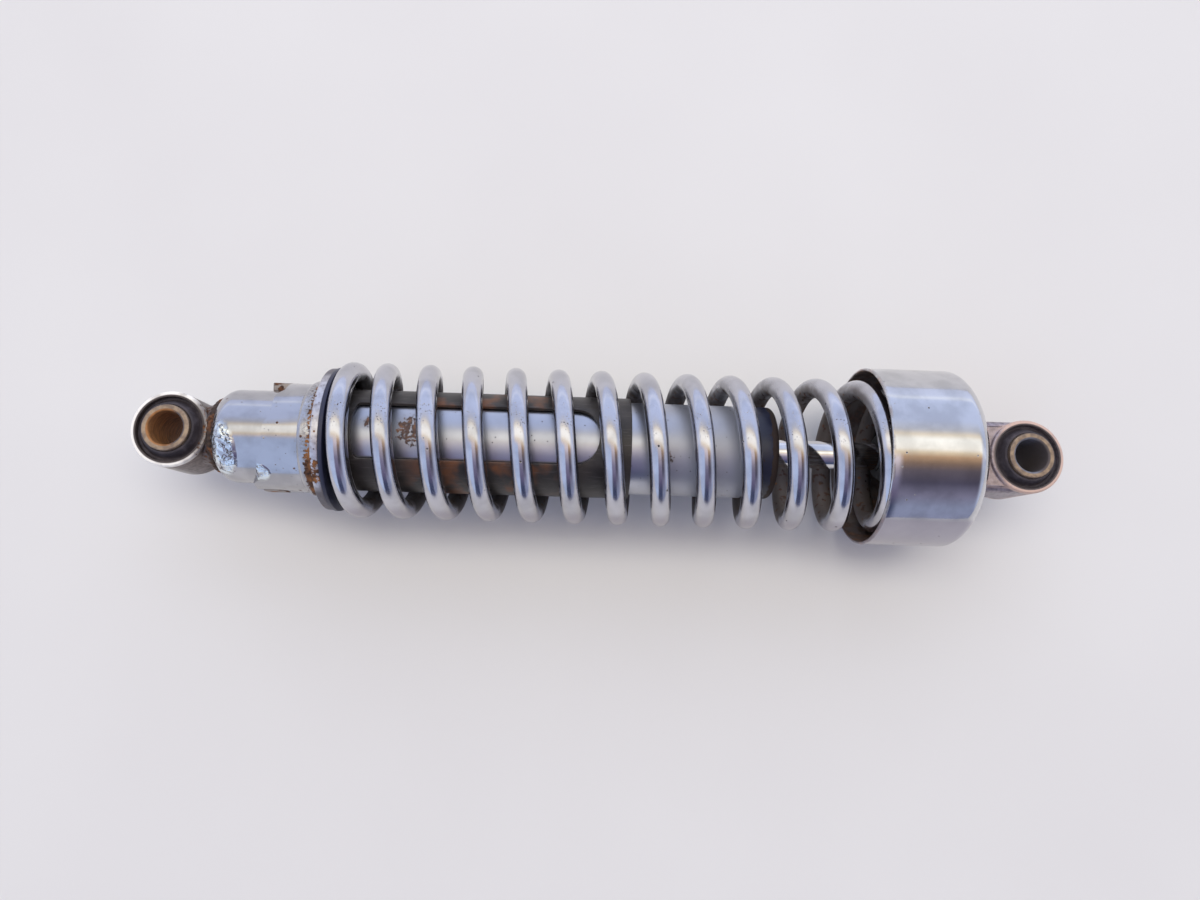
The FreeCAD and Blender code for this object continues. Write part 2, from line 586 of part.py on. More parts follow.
def foot_valve_pin():
    """Rivet through the foot valve, with a head that holds each stack."""
    low = FOOT_X + FOOT_RECESS - 3 * SHIM_THICK
    pin = disc(low, PIN_HEAD_X - low, PIN_R)
    low_head = disc(low - PIN_HEAD_THICK, PIN_HEAD_THICK, PIN_HEAD_R)
    return pin.fuse(low_head).fuse(disc(PIN_HEAD_X, PIN_HEAD_THICK, PIN_HEAD_R)).removeSplitter()


def shim_stack(face_x, away, bore_r, largest_r):
    """Three thin discs, each smaller than the one before, stacked away from a face."""
    shims = []
    for i in range(3):
        x = face_x + away * SHIM_THICK * i - (SHIM_THICK if away < 0 else 0)
        shims.append(ring(x, SHIM_THICK, bore_r, largest_r * (1 - 0.15 * i)))
    return Part.makeCompound(shims)


def valve_coil(low_x, high_x, low_r, high_r, turns):
    """Small wire spring for a valve."""
    path = coil_path(low_x + VALVE_WIRE_R, high_x - VALVE_WIRE_R, low_r, high_r, turns, 0.1, 0.2, 0.0, 16)
    return wire_coil(path, VALVE_WIRE_R)


def piston():
    """Sintered piston with six ports and a groove for its ring."""
    body = ring(PISTON_X, PISTON_LENGTH, SPIGOT_R, CYLINDER_R - PISTON_CLEAR)
    groove_x = PISTON_X + (PISTON_LENGTH - RING_WIDTH) / 2
    body = body.cut(ring(groove_x, RING_WIDTH, CYLINDER_R - 1.2, CYLINDER_R))
    for port in ports(PISTON_X - 1, PISTON_LENGTH + 2, 6, PORT_CIRCLE_R, PISTON_PORT_R):
        body = body.cut(port)
    return body


def piston_ring():
    """Sealing band in the piston's groove."""
    x = PISTON_X + (PISTON_LENGTH - RING_WIDTH) / 2
    return ring(x, RING_WIDTH, CYLINDER_R - 1.2, CYLINDER_R - RUN_CLEAR)


def check_spring():
    """Coned spring washer that holds the piston's check plate shut."""
    low_x = CHECK_PLATE_X + PLATE_THICK + SEAT_GAP
    high_x = CHECK_STOP_X
    return lathe([(low_x, CHECK_PLATE_R * 0.7), (low_x + CONE_THICK, CHECK_PLATE_R * 0.7),
                  (high_x, SPIGOT_R + 0.6), (high_x - CONE_THICK, SPIGOT_R + 0.6)])


def inner_parts():
    """Everything inside the tube, by node name."""
    guide_bush = ring(GUIDE_SPIGOT_X + 0.5, SEAL_WASHER_X - GUIDE_SPIGOT_X - 1, ROD_R + RUN_CLEAR,
                      ROD_R + RUN_CLEAR + BUSH_WALL)
    garter = Part.makeTorus(ROD_R + RUN_CLEAR + SEAL_LIP + 0.3 + GARTER_R, GARTER_R,
                            Vector(SEAL_X + SEAL_THICK * 0.32, 0, 0), ALONG)
    return {
        "inner_cylinder": ring(FOOT_FACE_X, GUIDE_BODY_X - FOOT_FACE_X, CYLINDER_R,
                               CYLINDER_R + CYLINDER_WALL),
        "foot_valve_body": foot_valve_body(),
        "foot_valve_pin": foot_valve_pin(),
        "foot_valve_plate": ring(FOOT_PLATE_X, PLATE_THICK, PIN_R + RUN_CLEAR, FOOT_PLATE_R),
        "foot_valve_spring": valve_coil(FOOT_PLATE_X + PLATE_THICK + SEAT_GAP, PIN_HEAD_X - SEAT_GAP,
                                        FOOT_PLATE_R * 0.7, PIN_HEAD_R * 0.75, 2.2),
        "compression_shims": shim_stack(FOOT_X + FOOT_RECESS, -1, PIN_R, FOOT_PLATE_R * 0.9),
        "piston": piston(),
        "piston_ring": piston_ring(),
        "check_plate": ring(CHECK_PLATE_X, PLATE_THICK, SPIGOT_R + RUN_CLEAR, CHECK_PLATE_R),
        "check_spring": check_spring(),
        "check_stop_washer": ring(CHECK_STOP_X, SHOULDER_X - CHECK_STOP_X, SPIGOT_R, CHECK_PLATE_R * 0.8),
        "rebound_shims": shim_stack(PISTON_X, -1, SPIGOT_R, CHECK_PLATE_R),
        "rebound_valve_spring": valve_coil(PISTON_NUT_X + PISTON_NUT_THICK, REBOUND_SHIM_X,
                                           SPIGOT_R + 2 * VALVE_WIRE_R, SPIGOT_R + 2 * VALVE_WIRE_R, 3.0),
        "piston_nut": hexagon(PISTON_NUT_X, PISTON_NUT_THICK, PISTON_NUT_FLATS, SPIGOT_R),
        "rebound_stop_collar": ring(COLLAR_X, COLLAR_LENGTH, ROD_R, BUMPER_R * 0.85),
        "rebound_bumper": ring(BUMPER_X, BUMPER_LENGTH, ROD_R, BUMPER_R),
        "rod_guide": rod_guide(),
        "rod_guide_bush": guide_bush,
        "seal_washer": ring(SEAL_WASHER_X, SEAL_WASHER_THICK, ROD_R + 1, TUBE_BORE_R),
        "oil_seal": oil_seal(),
        "garter_spring": garter,
        "dust_wiper": dust_wiper(),
    }


def outer_parts():
    """Everything outside the tube, by node name."""
    return {
        "lower_eye": lower_eye(),
        "lower_eye_weld": eye_weld(),
        "lower_bushing_rubber": bushing_rubber(0),
        "lower_bushing_sleeve": bushing_sleeve(0),
        "damper_tube": damper_tube(),
        "tube_end_cap": tube_end_cap(),
        "cam_lugs": cam_lugs(),
        "adjusting_cam": adjusting_cam(),
        "seat_washer": seat_washer(),
        "spring_guide": spring_guide(),
        "coil_spring": coil_spring(),
        "cover": cover(),
        "upper_spring_seat": upper_spring_seat(),
        "bump_stop": bump_stop(),
        "bump_stop_washer": ring(BUMP_TOP_X, STOP_WASHER_THICK, ROD_R, STOP_WASHER_R),
        "rod_lock_nut": hexagon(NUT_X, LOCK_NUT_THICK, LOCK_NUT_FLATS, THREAD_R),
        "piston_rod": piston_rod(),
        "upper_eye": upper_eye(),
        "upper_bushing_rubber": bushing_rubber(EYE_TO_EYE),
        "upper_bushing_sleeve": bushing_sleeve(EYE_TO_EYE),
    }


def main():
    os.makedirs("parts", exist_ok=True)
    parts = {**outer_parts(), **inner_parts()}
    for name, shape in parts.items():
        if not shape.isValid() or not shape.Solids:
            raise ValueError(name + " is not a valid solid")
        shape.exportStep("parts/" + name + ".step")
        print(f"{name}: {len(shape.Solids)} solid(s), {shape.Volume / 1000:.2f} cm3")


main()
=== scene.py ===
# %% [markdown]
# # A motorcycle rear shock absorber
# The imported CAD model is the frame: every piece below takes its place and size from it, in
# metres. The shock lies along X, with its lower eye at the origin, and the eyes' bores run along
# Z. CAD nodes hold the right shape but plain faces, so most visible pieces are made again here
# with rounded edges, wear and a finish of their own, and each rides on its CAD body.

# %% Load the frame and its box
import json
import math

import bmesh
import bpy
from mathutils import Matrix, Vector


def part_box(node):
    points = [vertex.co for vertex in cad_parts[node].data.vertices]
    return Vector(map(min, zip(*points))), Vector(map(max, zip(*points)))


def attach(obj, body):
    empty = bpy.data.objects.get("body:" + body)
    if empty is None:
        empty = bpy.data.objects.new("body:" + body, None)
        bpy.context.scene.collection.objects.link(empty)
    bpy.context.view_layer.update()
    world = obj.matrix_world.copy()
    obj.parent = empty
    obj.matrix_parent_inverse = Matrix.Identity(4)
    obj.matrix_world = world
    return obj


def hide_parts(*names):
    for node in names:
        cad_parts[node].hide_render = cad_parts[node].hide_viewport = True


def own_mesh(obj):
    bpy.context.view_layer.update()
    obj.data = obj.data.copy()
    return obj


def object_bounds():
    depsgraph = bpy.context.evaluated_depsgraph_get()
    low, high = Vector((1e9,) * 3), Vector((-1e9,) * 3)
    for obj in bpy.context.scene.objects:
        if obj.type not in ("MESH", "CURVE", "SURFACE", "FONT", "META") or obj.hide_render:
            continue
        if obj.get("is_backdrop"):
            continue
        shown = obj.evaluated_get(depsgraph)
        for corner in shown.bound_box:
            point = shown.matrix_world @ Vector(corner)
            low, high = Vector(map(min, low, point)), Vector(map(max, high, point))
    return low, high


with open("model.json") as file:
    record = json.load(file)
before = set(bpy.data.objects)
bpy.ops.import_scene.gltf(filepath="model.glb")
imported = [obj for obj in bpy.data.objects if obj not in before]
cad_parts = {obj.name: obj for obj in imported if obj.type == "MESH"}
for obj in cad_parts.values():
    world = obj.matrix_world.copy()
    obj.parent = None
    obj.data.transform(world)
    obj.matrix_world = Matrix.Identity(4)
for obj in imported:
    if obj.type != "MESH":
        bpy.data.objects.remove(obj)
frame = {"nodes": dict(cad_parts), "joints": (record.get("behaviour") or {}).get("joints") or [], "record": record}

cad_low, cad_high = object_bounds()
MM = 0.001


def linked(name, data):
    """A new object in the scene."""
    made = bpy.data.objects.new(name, data)
    bpy.context.scene.collection.objects.link(made)
    return made


print("CAD box", [round(v / MM, 1) for v in cad_low], [round(v / MM, 1) for v in cad_high])

# %% [markdown]
# ## Node trees as arithmetic
# Shader and geometry trees are easier to read as formulas than as wiring. `Value` wraps one
# socket and overloads the operators, so `1 - mask * 0.5` adds the Math nodes by itself. `Tree`
# makes every other node through one method: its settings are set first, then its sockets.

# %% A socket with operators
class Value:
    """One output socket of a tree. Arithmetic on it adds Math nodes."""

    def __init__(self, tree, socket):
        self.tree = tree
        self.socket = socket

    def maths(self, operation, *others):
        return self.tree.node("ShaderNodeMath", {"operation": operation}, dict(enumerate((self, *others))))

    def __add__(self, other): return self.maths("ADD", other)
    def __radd__(self, other): return self.maths("ADD", other)
    def __sub__(self, other): return self.maths("SUBTRACT", other)
    def __rsub__(self, other): return (self * -1) + other
    def __mul__(self, other): return self.maths("MULTIPLY", other)
    def __rmul__(self, other): return self.maths("MULTIPLY", other)
    def __truediv__(self, other): return self.maths("DIVIDE", other)
    def __abs__(self): return self.maths("ABSOLUTE")

    def highest(self, other): return self.maths("MAXIMUM", other)
    def lowest(self, other): return self.maths("MINIMUM", other)
    def sine(self): return self.maths("SINE")
    def cosine(self): return self.maths("COSINE")

    def ramp(self, low, high):
        """0 below low, 1 above high, smooth between; low may be the greater."""
        sockets = {"Value": self, "From Min": low, "From Max": high}
        return self.tree.node("ShaderNodeMapRange", {"interpolation_type": "SMOOTHSTEP"}, sockets)


# %% [markdown]
# ## Making nodes
# A noise or a mix is asked for by size in metres and by seed, so that a pattern keeps its scale
# on every piece. Object coordinates are used throughout: the pieces all sit at the origin, so the
# patterns stay where they are put when a piece moves.

# %% A tree that makes nodes
class Tree:
    """A shader, world or geometry node tree."""

    def __init__(self, tree):
        self.nodes = tree.nodes
        self.links = tree.links
        self.nodes.clear()

    def put(self, socket, value):
        if isinstance(value, Value):
            self.links.new(value.socket, socket)
        else:
            socket.default_value = value

    def node(self, kind, settings=None, sockets=None, out=0):
        """Add a node: its settings first, then its sockets by name or number; returns one output."""
        made = self.nodes.new(kind)
        for name, value in (settings or {}).items():
            if name == "stops":
                self.set_stops(made.color_ramp, value)
            else:
                setattr(made, name, value)
        for name, value in (sockets or {}).items():
            self.put(made.inputs[name], value)
        return Value(self, made.outputs[out]) if made.outputs else made

    def set_stops(self, colour_ramp, stops):
        elements = colour_ramp.elements
        while len(elements) < len(stops):
            elements.new(0.5)
        for element, (place, colour) in zip(elements, stops):
            element.position = place
            element.color = (*colour, 1)

    def mix(self, share, first, second):
        """Colour between two colours or colour sockets."""
        first, second = [(*c, 1) if isinstance(c, tuple) else c for c in (first, second)]
        return self.node("ShaderNodeMix", {"data_type": "RGBA"}, {0: share, 6: first, 7: second}, out=2)

    def stretched(self, scale, shift=(0, 0, 0)):
        """Object coordinates scaled along each axis, for lines and streaks."""
        where = self.node("ShaderNodeTexCoord", out="Object")
        return self.node("ShaderNodeMapping", None, {"Vector": where, "Scale": scale, "Location": shift})

    def axes(self):
        """x, y and z of the point in object coordinates."""
        where = self.node("ShaderNodeTexCoord", out="Object")
        split = self.node("ShaderNodeSeparateXYZ", None, {0: where}).socket.node
        return [Value(self, socket) for socket in split.outputs]

    def noise(self, size, detail=3.0, stretch=(1, 1, 1), seed=0.0):
        """Cloudy value about 0.5, with features of a size in metres, longer where stretch is over 1."""
        scale = tuple(1 / (size * s) for s in stretch)
        where = self.stretched(scale, (seed, seed * 1.7, -seed))
        return self.node("ShaderNodeTexNoise", None, {"Vector": where, "Scale": 1.0, "Detail": detail})

    def specks(self, size, spread, seed=0.0):
        """1 in small round dots, one to a cell of a size in metres; spread is a dot's share of it."""
        where = self.stretched((1 / size,) * 3, (seed, -seed, seed * 2.3))
        near = self.node("ShaderNodeTexVoronoi", None, {"Vector": where, "Scale": 1.0}, out="Distance")
        return near.ramp(spread, spread * 0.5)


# %% [markdown]
# ## Camera
# The camera looks down on the shock from a little beside its middle. Its lens is short, so the
# ends show their inner sides: some of the cover's mouth, and the eyes' bores at a slant.

# %% Camera
CAMERA_PLACE = Vector((0.153, -0.0508, 0.3111))
CAMERA_TURN_DEG = (9.06, -2.12, 1.53)
LENS_MM = 23.7
MIDDLE = Vector((0.165, 0, 0))      # half way between the eyes

camera_data = bpy.data.cameras.new("camera")
camera_data.lens = LENS_MM
camera_data.sensor_width = 36.0
camera_data.clip_start = 0.01
camera = linked("camera", camera_data)
camera.location = CAMERA_PLACE
camera.rotation_euler = [math.radians(a) for a in CAMERA_TURN_DEG]
bpy.context.scene.camera = camera
print("camera", LENS_MM, "mm lens,", round((CAMERA_PLACE - MIDDLE).length, 3), "m away")


# %% [markdown]
# ## How a material ends
# Every material here ends in the same Principled shader. Only colour, roughness, metallic and a
# bump vary over a surface, because those are what a bake can keep. A helper wires them.

# %% Material helpers
def new_material(name):
    """An empty material and its tree."""
    material = bpy.data.materials.new(name)
    material.use_nodes = True
    return material, Tree(material.node_tree)


def surface(tree, colour, rough, metal, height=None, depth=0.0001):
    """Principled surface from colour, roughness and metallic, with a height in units of depth."""
    sockets = {"Base Color": (*colour, 1) if isinstance(colour, tuple) else colour,
               "Roughness": rough, "Metallic": metal}
    if height is not None:
        sockets["Normal"] = tree.node("ShaderNodeBump", None, {"Height": height, "Distance": depth})
    shader = tree.node("ShaderNodeBsdfPrincipled", None, sockets)
    tree.node("ShaderNodeOutputMaterial", None, {"Surface": shader})


# %% [markdown]
# ## Floor
# The shock lies on one pale matt sheet at its lowest point. It is 6 m wide, so that the polished
# undersides mirror floor and no edge of it.

# %% Floor
def floor_material():
    """Matt pale sheet with the faintest cloudiness."""
    material, tree = new_material("floor_sheet")
    tint = tree.mix(tree.noise(0.12, 2), (0.67, 0.655, 0.635), (0.72, 0.71, 0.685))
    surface(tree, tint, 0.75, 0.0)
    return material


FLOOR_HALF = 3.0
floor_mesh = bpy.data.meshes.new("floor")
square = ((-1, -1), (1, -1), (1, 1), (-1, 1))
corners = [(MIDDLE.x + x * FLOOR_HALF, y * FLOOR_HALF, cad_low.z) for x, y in square]
floor_mesh.from_pydata(corners, [], [(0, 1, 2, 3)])
floor = linked("floor", floor_mesh)
floor_mesh.materials.append(floor_material())
floor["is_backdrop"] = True
print("floor at z", round(cad_low.z / MM, 2), "mm")


# %% [markdown]
# ## Lights
# Two large soft lights shape the shadows: one overhead, and a cool one from the far side. Chrome
# would mirror their outlines as hard patches, so they are hidden from it and from the camera.

# %% Lights
def strip_light(name, at, aim, size, power, colour):
    """Rectangular soft light that neither the camera nor the chrome sees: the room is what chrome shows."""
    data = bpy.data.lights.new(name, "AREA")
    data.shape = "RECTANGLE"
    data.size, data.size_y = size
    data.energy = power
    data.color = colour
    light = linked(name, data)
    light.location = at
    light.rotation_euler = (aim - Vector(at)).to_track_quat("-Z", "Y").to_euler()
    light.visible_camera = False
    light.visible_glossy = False


strip_light("overhead", (MIDDLE.x, 0.35, 1.6), MIDDLE, (1.6, 0.5), 9.5, (1.0, 0.96, 0.90))
strip_light("cool_fill", (MIDDLE.x, 2.2, 1.5), MIDDLE, (3.0, 1.6), 12.0, (0.92, 0.93, 1.0))


# %% [markdown]
# ## The room that the chrome mirrors
# A polished cylinder shows whatever lies at twice the tilt of its surface, so the look of chrome is
# made by what surrounds it. Colour ramps run round the shock's axis: a warm strip overhead, a pale
# blue far side, and a dark near side where the viewer stands. The near side is paler beyond the
# shock's right end, and to its left.

# %% World: what the chrome reflects
# Each stop is degrees from overhead towards +Y, and the room's colour there.
FAR_SIDE = ((-1, (1.15, 0.95, 0.68)), (3, (1.55, 1.48, 1.34)),
            (15, (1.55, 1.52, 1.42)), (21, (1.15, 1.00, 0.80)), (27, (0.72, 0.74, 0.84)),
            (40, (0.72, 0.81, 1.10)), (70, (0.76, 0.86, 1.17)), (74, (1.10, 1.16, 1.34)),
            (78, (0.84, 0.92, 1.20)), (100, (0.74, 0.80, 1.05)))
NEAR_MIDDLE = ((-100, (0.11, 0.115, 0.22)), (-88, (0.075, 0.088, 0.18)), (-72, (0.062, 0.080, 0.16)),
               (-55, (0.19, 0.165, 0.29)), (-34, (0.29, 0.27, 0.40)), (-22, (0.56, 0.49, 0.56)),
               (-10, (0.98, 0.86, 0.92)))
NEAR_RIGHT = ((-100, (0.24, 0.25, 0.38)), (-91, (0.33, 0.36, 0.54)), (-74, (0.34, 0.38, 0.56)),
              (-57, (0.26, 0.25, 0.37)), (-40, (0.100, 0.092, 0.145)), (-24, (0.155, 0.13, 0.16)),
              (-15, (0.30, 0.20, 0.15)), (-7, (0.68, 0.43, 0.26)))
NEAR_LEFT = (0.64, 0.76, 1.06)


def room_world():
    """A pale blue room with a warm strip overhead and a dark side where the viewer stands."""
    world = bpy.data.worlds.new("room")
    world.use_nodes = True
    tree = Tree(world.node_tree)
    direction = tree.node("ShaderNodeTexCoord", out="Generated")
    split = tree.node("ShaderNodeSeparateXYZ", None, {0: direction}).socket.node
    x, y, z = [Value(tree, socket) for socket in split.outputs]
    lean = y.maths("ARCTAN2", z) * (180 / math.pi)

    def room(near_side):
        stops = [((degrees + 180) / 360, colour) for degrees, colour in near_side + FAR_SIDE]
        return tree.node("ShaderNodeValToRGB", {"stops": stops}, {"Fac": (lean + 180) / 360})

    colour = tree.mix(x.ramp(0.30, 0.38), room(NEAR_MIDDLE), room(NEAR_RIGHT))
    colour = tree.mix(x.ramp(-0.24, -0.32) * lean.ramp(-4, -12), colour, NEAR_LEFT)
    colour = tree.mix(abs(x).ramp(0.62, 0.92) * 0.8, colour, (0.70, 0.77, 1.00))
    seen = tree.node("ShaderNodeLightPath", out="Is Camera Ray")
    colour = tree.mix(seen, colour, (0.78, 0.77, 0.79))
    shader = tree.node("ShaderNodeBackground", None, {"Color": colour, "Strength": 1.0})
    tree.node("ShaderNodeOutputWorld", None, {"Surface": shader})
    return world


bpy.context.scene.world = room_world()
bpy.context.scene.view_settings.view_transform = "Standard"
print("world", bpy.context.scene.world.name)

# %% [markdown]
# ## Plating, and how it fails
# Chromium on nickel fails in three ways: pits, rust that creeps out from an edge, and blisters
# where it has come loose. First come the rust's colour, which every steel piece shares, and a
# mask for one place, which says where a patch or a blister lies.

# %% Rust and places
RUST_DARK = (0.040, 0.018, 0.010)
RUST_BROWN = (0.125, 0.052, 0.022)
RUST_ORANGE = (0.30, 0.125, 0.038)


def rust_colour(tree):
    """Mottled rust, from near black to orange."""
    fine = tree.noise(0.0012, 5)
    coarse = tree.noise(0.0048, 3, seed=3.0)
    colour = tree.mix(fine.ramp(0.35, 0.6), RUST_DARK, RUST_BROWN)
    return tree.mix(coarse.ramp(0.5, 0.68), colour, RUST_ORANGE)


def spot(tree, centre, reach):
    """1 at a place, falling to 0 at a reach from it; reach may differ along x, y and z."""
    reach = reach if isinstance(reach, tuple) else (reach,) * 3
    x, y, z = [(axis - c) / r for axis, c, r in zip(tree.axes(), centre, reach)]
    return (x * x + y * y + z * z).maths("SQRT").ramp(1.0, 0.2)


def off_axis(tree):
    """Distance from the shock's long axis, then x, y and z."""
    x, y, z = tree.axes()
    return (y * y + z * z).maths("SQRT"), x, y, z


print("rust from", RUST_DARK, "to", RUST_ORANGE)


# %% [markdown]
# ## One plating for every plated piece
# The plating is polished round the axis, which leaves fine lines. All the plated pieces share
# this function, and each gives it masks that say where its own damage is. Rust is rough, dull
# and stands a little proud; pits are dark and sunk; a blister is pale and cracked.

# %% Plating
POLISH_LINES = 0.18 * MM      # width of the lines that polishing leaves


def plated(name, colour, rough, masks, peeled=None, dulled_from=None, painted_shade_band=None):
    """Bright plating, polished round the shock's axis. masks(tree) gives rust, stain and pit values; a stain may
    hold painted shade too.

    peeled is the centre and reach of a place where the plating has blistered and cracked.
    dulled_from is the x past which handling and oil have left it matt.
    The last argument gives two y values past which the −y edge darkens: painted shade that dims the floor mirrored
    there.
    """
    material, tree = new_material(name)
    polish = tree.noise(POLISH_LINES, 2, stretch=(1, 90, 90))
    cloud = tree.noise(0.009, 3, seed=5.0)
    rust, stain, pits = masks(tree)
    tint = tuple(c * 0.80 for c in colour)
    base = tree.mix(cloud.ramp(0.35, 0.7), colour, tint)
    # Painted shade: a band along the −y edge is darkened, to dim the floor that the chrome mirrors there.
    if painted_shade_band:
        base = tree.mix(tree.axes()[1].ramp(*painted_shade_band) * 0.8, base, (0.37, 0.35, 0.41))
    # Stains go dark brown: real grime, and on the spring also painted shade.
    grime_and_shade_colour = tree.mix(tree.axes()[0].ramp(0.19, 0.24), (0.040, 0.027, 0.020), (0.110, 0.083, 0.066))
    base = tree.mix(stain * 0.92, base, grime_and_shade_colour)
    base = tree.mix(pits, base, (0.035, 0.025, 0.02))
    base = tree.mix(rust, base, rust_colour(tree))
    bad = rust.highest(pits)
    roughness = (polish - 0.5) * 0.10 + rough + cloud.ramp(0.4, 0.8) * 0.05 + stain * 0.35 + bad * 0.5
    height = polish * 0.007 + tree.noise(0.0007, 4) * rust * 1.2 - pits * 1.0
    if dulled_from:
        matt = tree.axes()[0].ramp(dulled_from - 0.002, dulled_from + 0.002)
        roughness = roughness + matt * 0.17
        base = tree.mix(matt * (1 - bad) * 0.6, base, (0.55, 0.58, 0.66))
    if peeled:
        loose = spot(tree, *peeled).ramp(0.02, 0.25)
        folds = tree.noise(0.0024, 3, seed=21.0)
        crack = abs(tree.noise(0.0050, 4, seed=23.0) - 0.5).ramp(0.012, 0.004) * loose
        base = tree.mix(loose * folds.ramp(0.38, 0.60) * 0.85, base, (0.84, 0.93, 0.96))
        base = tree.mix(crack, base, (0.05, 0.045, 0.05))
        bad = bad.highest(crack)
        height = height + loose * folds * 6 - crack * 3
    surface(tree, base, roughness, 1 - (bad * 0.92).highest(stain * 0.9), height)
    return material


print("polish lines", POLISH_LINES / MM, "mm wide")


# %% [markdown]
# ## Spring wire
# Grime stays where a cloth can't reach: on the wire's inner side and under the cover. Low down, on the floor side,
# the wire is darker still, partly grime and partly painted shade.
# The distance from the shock's axis tells inner from outer side, so one mask serves every turn.

# %% Spring wire
def spring_masks(tree):
    """Grime on the wire's inner side, worst at the top end; grime and painted shade on its floor side and in the
    near low corner; pits along the crown.
    """
    out, x, y, z = off_axis(tree)
    inner = out.ramp(0.0268, 0.0246)
    # under: the inner half of the floor-side turns, darkened as grime and painted shade.
    under = z.ramp(0.000, -0.010) * out.ramp(0.0296, 0.0276)
    patchy = tree.noise(0.006, 3, seed=2.0).ramp(0.30, 0.60)
    # pocket: painted shade on the inner side of the near, low turns.
    pocket = y.ramp(-0.012, -0.018) * z.ramp(0.000, -0.006) * out.ramp(0.0285, 0.0268)
    upper_end = x.ramp(0.17, 0.25)
    top_side = y.ramp(0.000, 0.022) * upper_end * out.ramp(0.0305, 0.027)
    film = (inner * (patchy * 0.35 + 0.65)).highest(top_side * (patchy * 0.5 + 0.35))
    # stain: grime, with the painted shade of under and pocket.
    stain = film.highest(under).highest(pocket)
    eaten = tree.noise(0.0022, 5, seed=7.0).ramp(0.56, 0.64)
    rust = inner * eaten * (upper_end * 0.3 + 0.4)
    crown = out.ramp(0.0285, 0.0301) * tree.noise(0.006, 2, seed=4.0).ramp(0.42, 0.6)
    lit = y.ramp(-0.001, 0.004) * y.ramp(0.013, 0.008)
    pits = (tree.specks(0.0009, 0.30, 1.0) * crown * lit).highest(tree.specks(0.0065, 0.08, 6.0))
    return rust, stain, pits


# The last two numbers darken the wire's −y edge: painted shade.
SPRING_FINISH = plated("spring_chrome", (0.60, 0.60, 0.64), 0.165, spring_masks,
                       painted_shade_band=(-0.0265, -0.0295))
print(SPRING_FINISH.name, "made")


# %% [markdown]
# ## Cover
# A drawn steel cup, plated outside. The plating is thin inside, where it has stained all over.

# %% Cover finish
def cover_masks(tree):
    """Clean outside with a few specks; the inside is stained all over."""
    out, x = off_axis(tree)[:2]
    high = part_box("cover")[1]
    inside = out.ramp(high.y - 0.0006, high.y - 0.0009) * x.ramp(high.x - 0.011, high.x - 0.0125)
    patchy = tree.noise(0.006, 4, seed=9.0).ramp(0.35, 0.6)
    specks = tree.specks(0.006, 0.07, 2.0) * (1 - inside)
    rim = x.ramp(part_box("cover")[0].x + 0.0012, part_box("cover")[0].x + 0.0004) * patchy * 0.5
    return (inside * patchy * 0.55).highest(rim), inside * 0.95, specks


# The last two numbers darken the cover's −y edge: painted shade.
COVER_FINISH = plated("cover_chrome", (0.66, 0.66, 0.67), 0.09, cover_masks,
                      painted_shade_band=(-0.0256, -0.0276))
print(COVER_FINISH.name, "made")


# %% [markdown]
# ## Damper tube and cam
# The tube is a plated tube with a domed end, and the cam is a plated sleeve. Water stands at the
# seam between the cam and the washer, so rust starts there and spreads in ragged patches. A noise
# that is lifted by a mask before its threshold gives that: ragged everywhere, dense at the seam.

# %% Damper tube and cam
def tube_masks(tree):
    """Rust specks on the dome, patches on the stretch that the guide's window shows."""
    x = tree.axes()[0]
    ragged = tree.noise(0.0013, 6, seed=1.0)
    low_patch = spot(tree, (0.0915, 0.0015, 0.0182), 0.0115)
    small_patch = spot(tree, (0.187, -0.006, 0.0172), 0.0075)
    left_patch = spot(tree, (0.0755, 0.004, 0.018), 0.004)
    patches = low_patch.highest(small_patch).highest(left_patch)
    rust = (patches * 0.52 + ragged - 0.88).ramp(0.0, 0.12) * 0.9
    specks = tree.specks(0.0052, 0.13, 3.0) * tree.noise(0.01, 2, seed=8.0).ramp(0.40, 0.55)
    stain = (x.ramp(0.172, 0.20) * 0.40).highest(patches * 0.35)
    return rust.highest(specks * x.ramp(0.060, 0.050)), stain, tree.specks(0.0034, 0.08, 5.0)


def cam_masks(tree):
    """Rust creeps along the seam under the rim, and in specks over the sleeve."""
    x, y = tree.axes()[:2]
    edge_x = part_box("adjusting_cam")[1].x
    seam = x.ramp(edge_x - 0.0062, edge_x - 0.0012)
    low = y.ramp(-0.006, -0.016) * x.ramp(edge_x - 0.006, edge_x - 0.002)
    ragged = tree.noise(0.0011, 6, seed=11.0)
    rust = (seam * 0.46 + low * 0.40 + ragged - 0.90).ramp(0.0, 0.07)
    specks = tree.specks(0.0058, 0.12, 13.0)
    stain = (seam * ragged.ramp(0.35, 0.6) * 0.7).highest(low * 0.5)
    return rust.highest(specks), stain, tree.specks(0.0021, 0.10, 17.0) * 0.7


def few_marks(tree):
    """Almost clean plating."""
    return tree.specks(0.009, 0.06, 4.0), tree.noise(0.01, 3).ramp(0.55, 0.8) * 0.3, tree.specks(0.004, 0.05)


TUBE_FINISH = plated("tube_chrome", (0.51, 0.51, 0.535), 0.13, tube_masks, dulled_from=0.060,
                     peeled=((0.0205, -0.0075, 0.0135), (0.0080, 0.0135, 0.012)))
CAM_FINISH = plated("cam_chrome", (0.51, 0.51, 0.535), 0.12, cam_masks,
                    peeled=((0.0355, -0.0150, 0.0125), (0.0055, 0.0045, 0.007)))
ROD_FINISH = plated("rod_chrome", (0.74, 0.74, 0.75), 0.06, few_marks)
print("plated finishes", [m.name for m in bpy.data.materials if "chrome" in m.name])


# %% [markdown]
# ## Bare and painted steel
# Small parts are zinc plated or painted. Zinc goes dull and then rusts in patches; paint chips
# away from an edge first.

# %% Bare and painted steel
TURNING_LINES = 0.2 * MM      # width of the lines that turning leaves


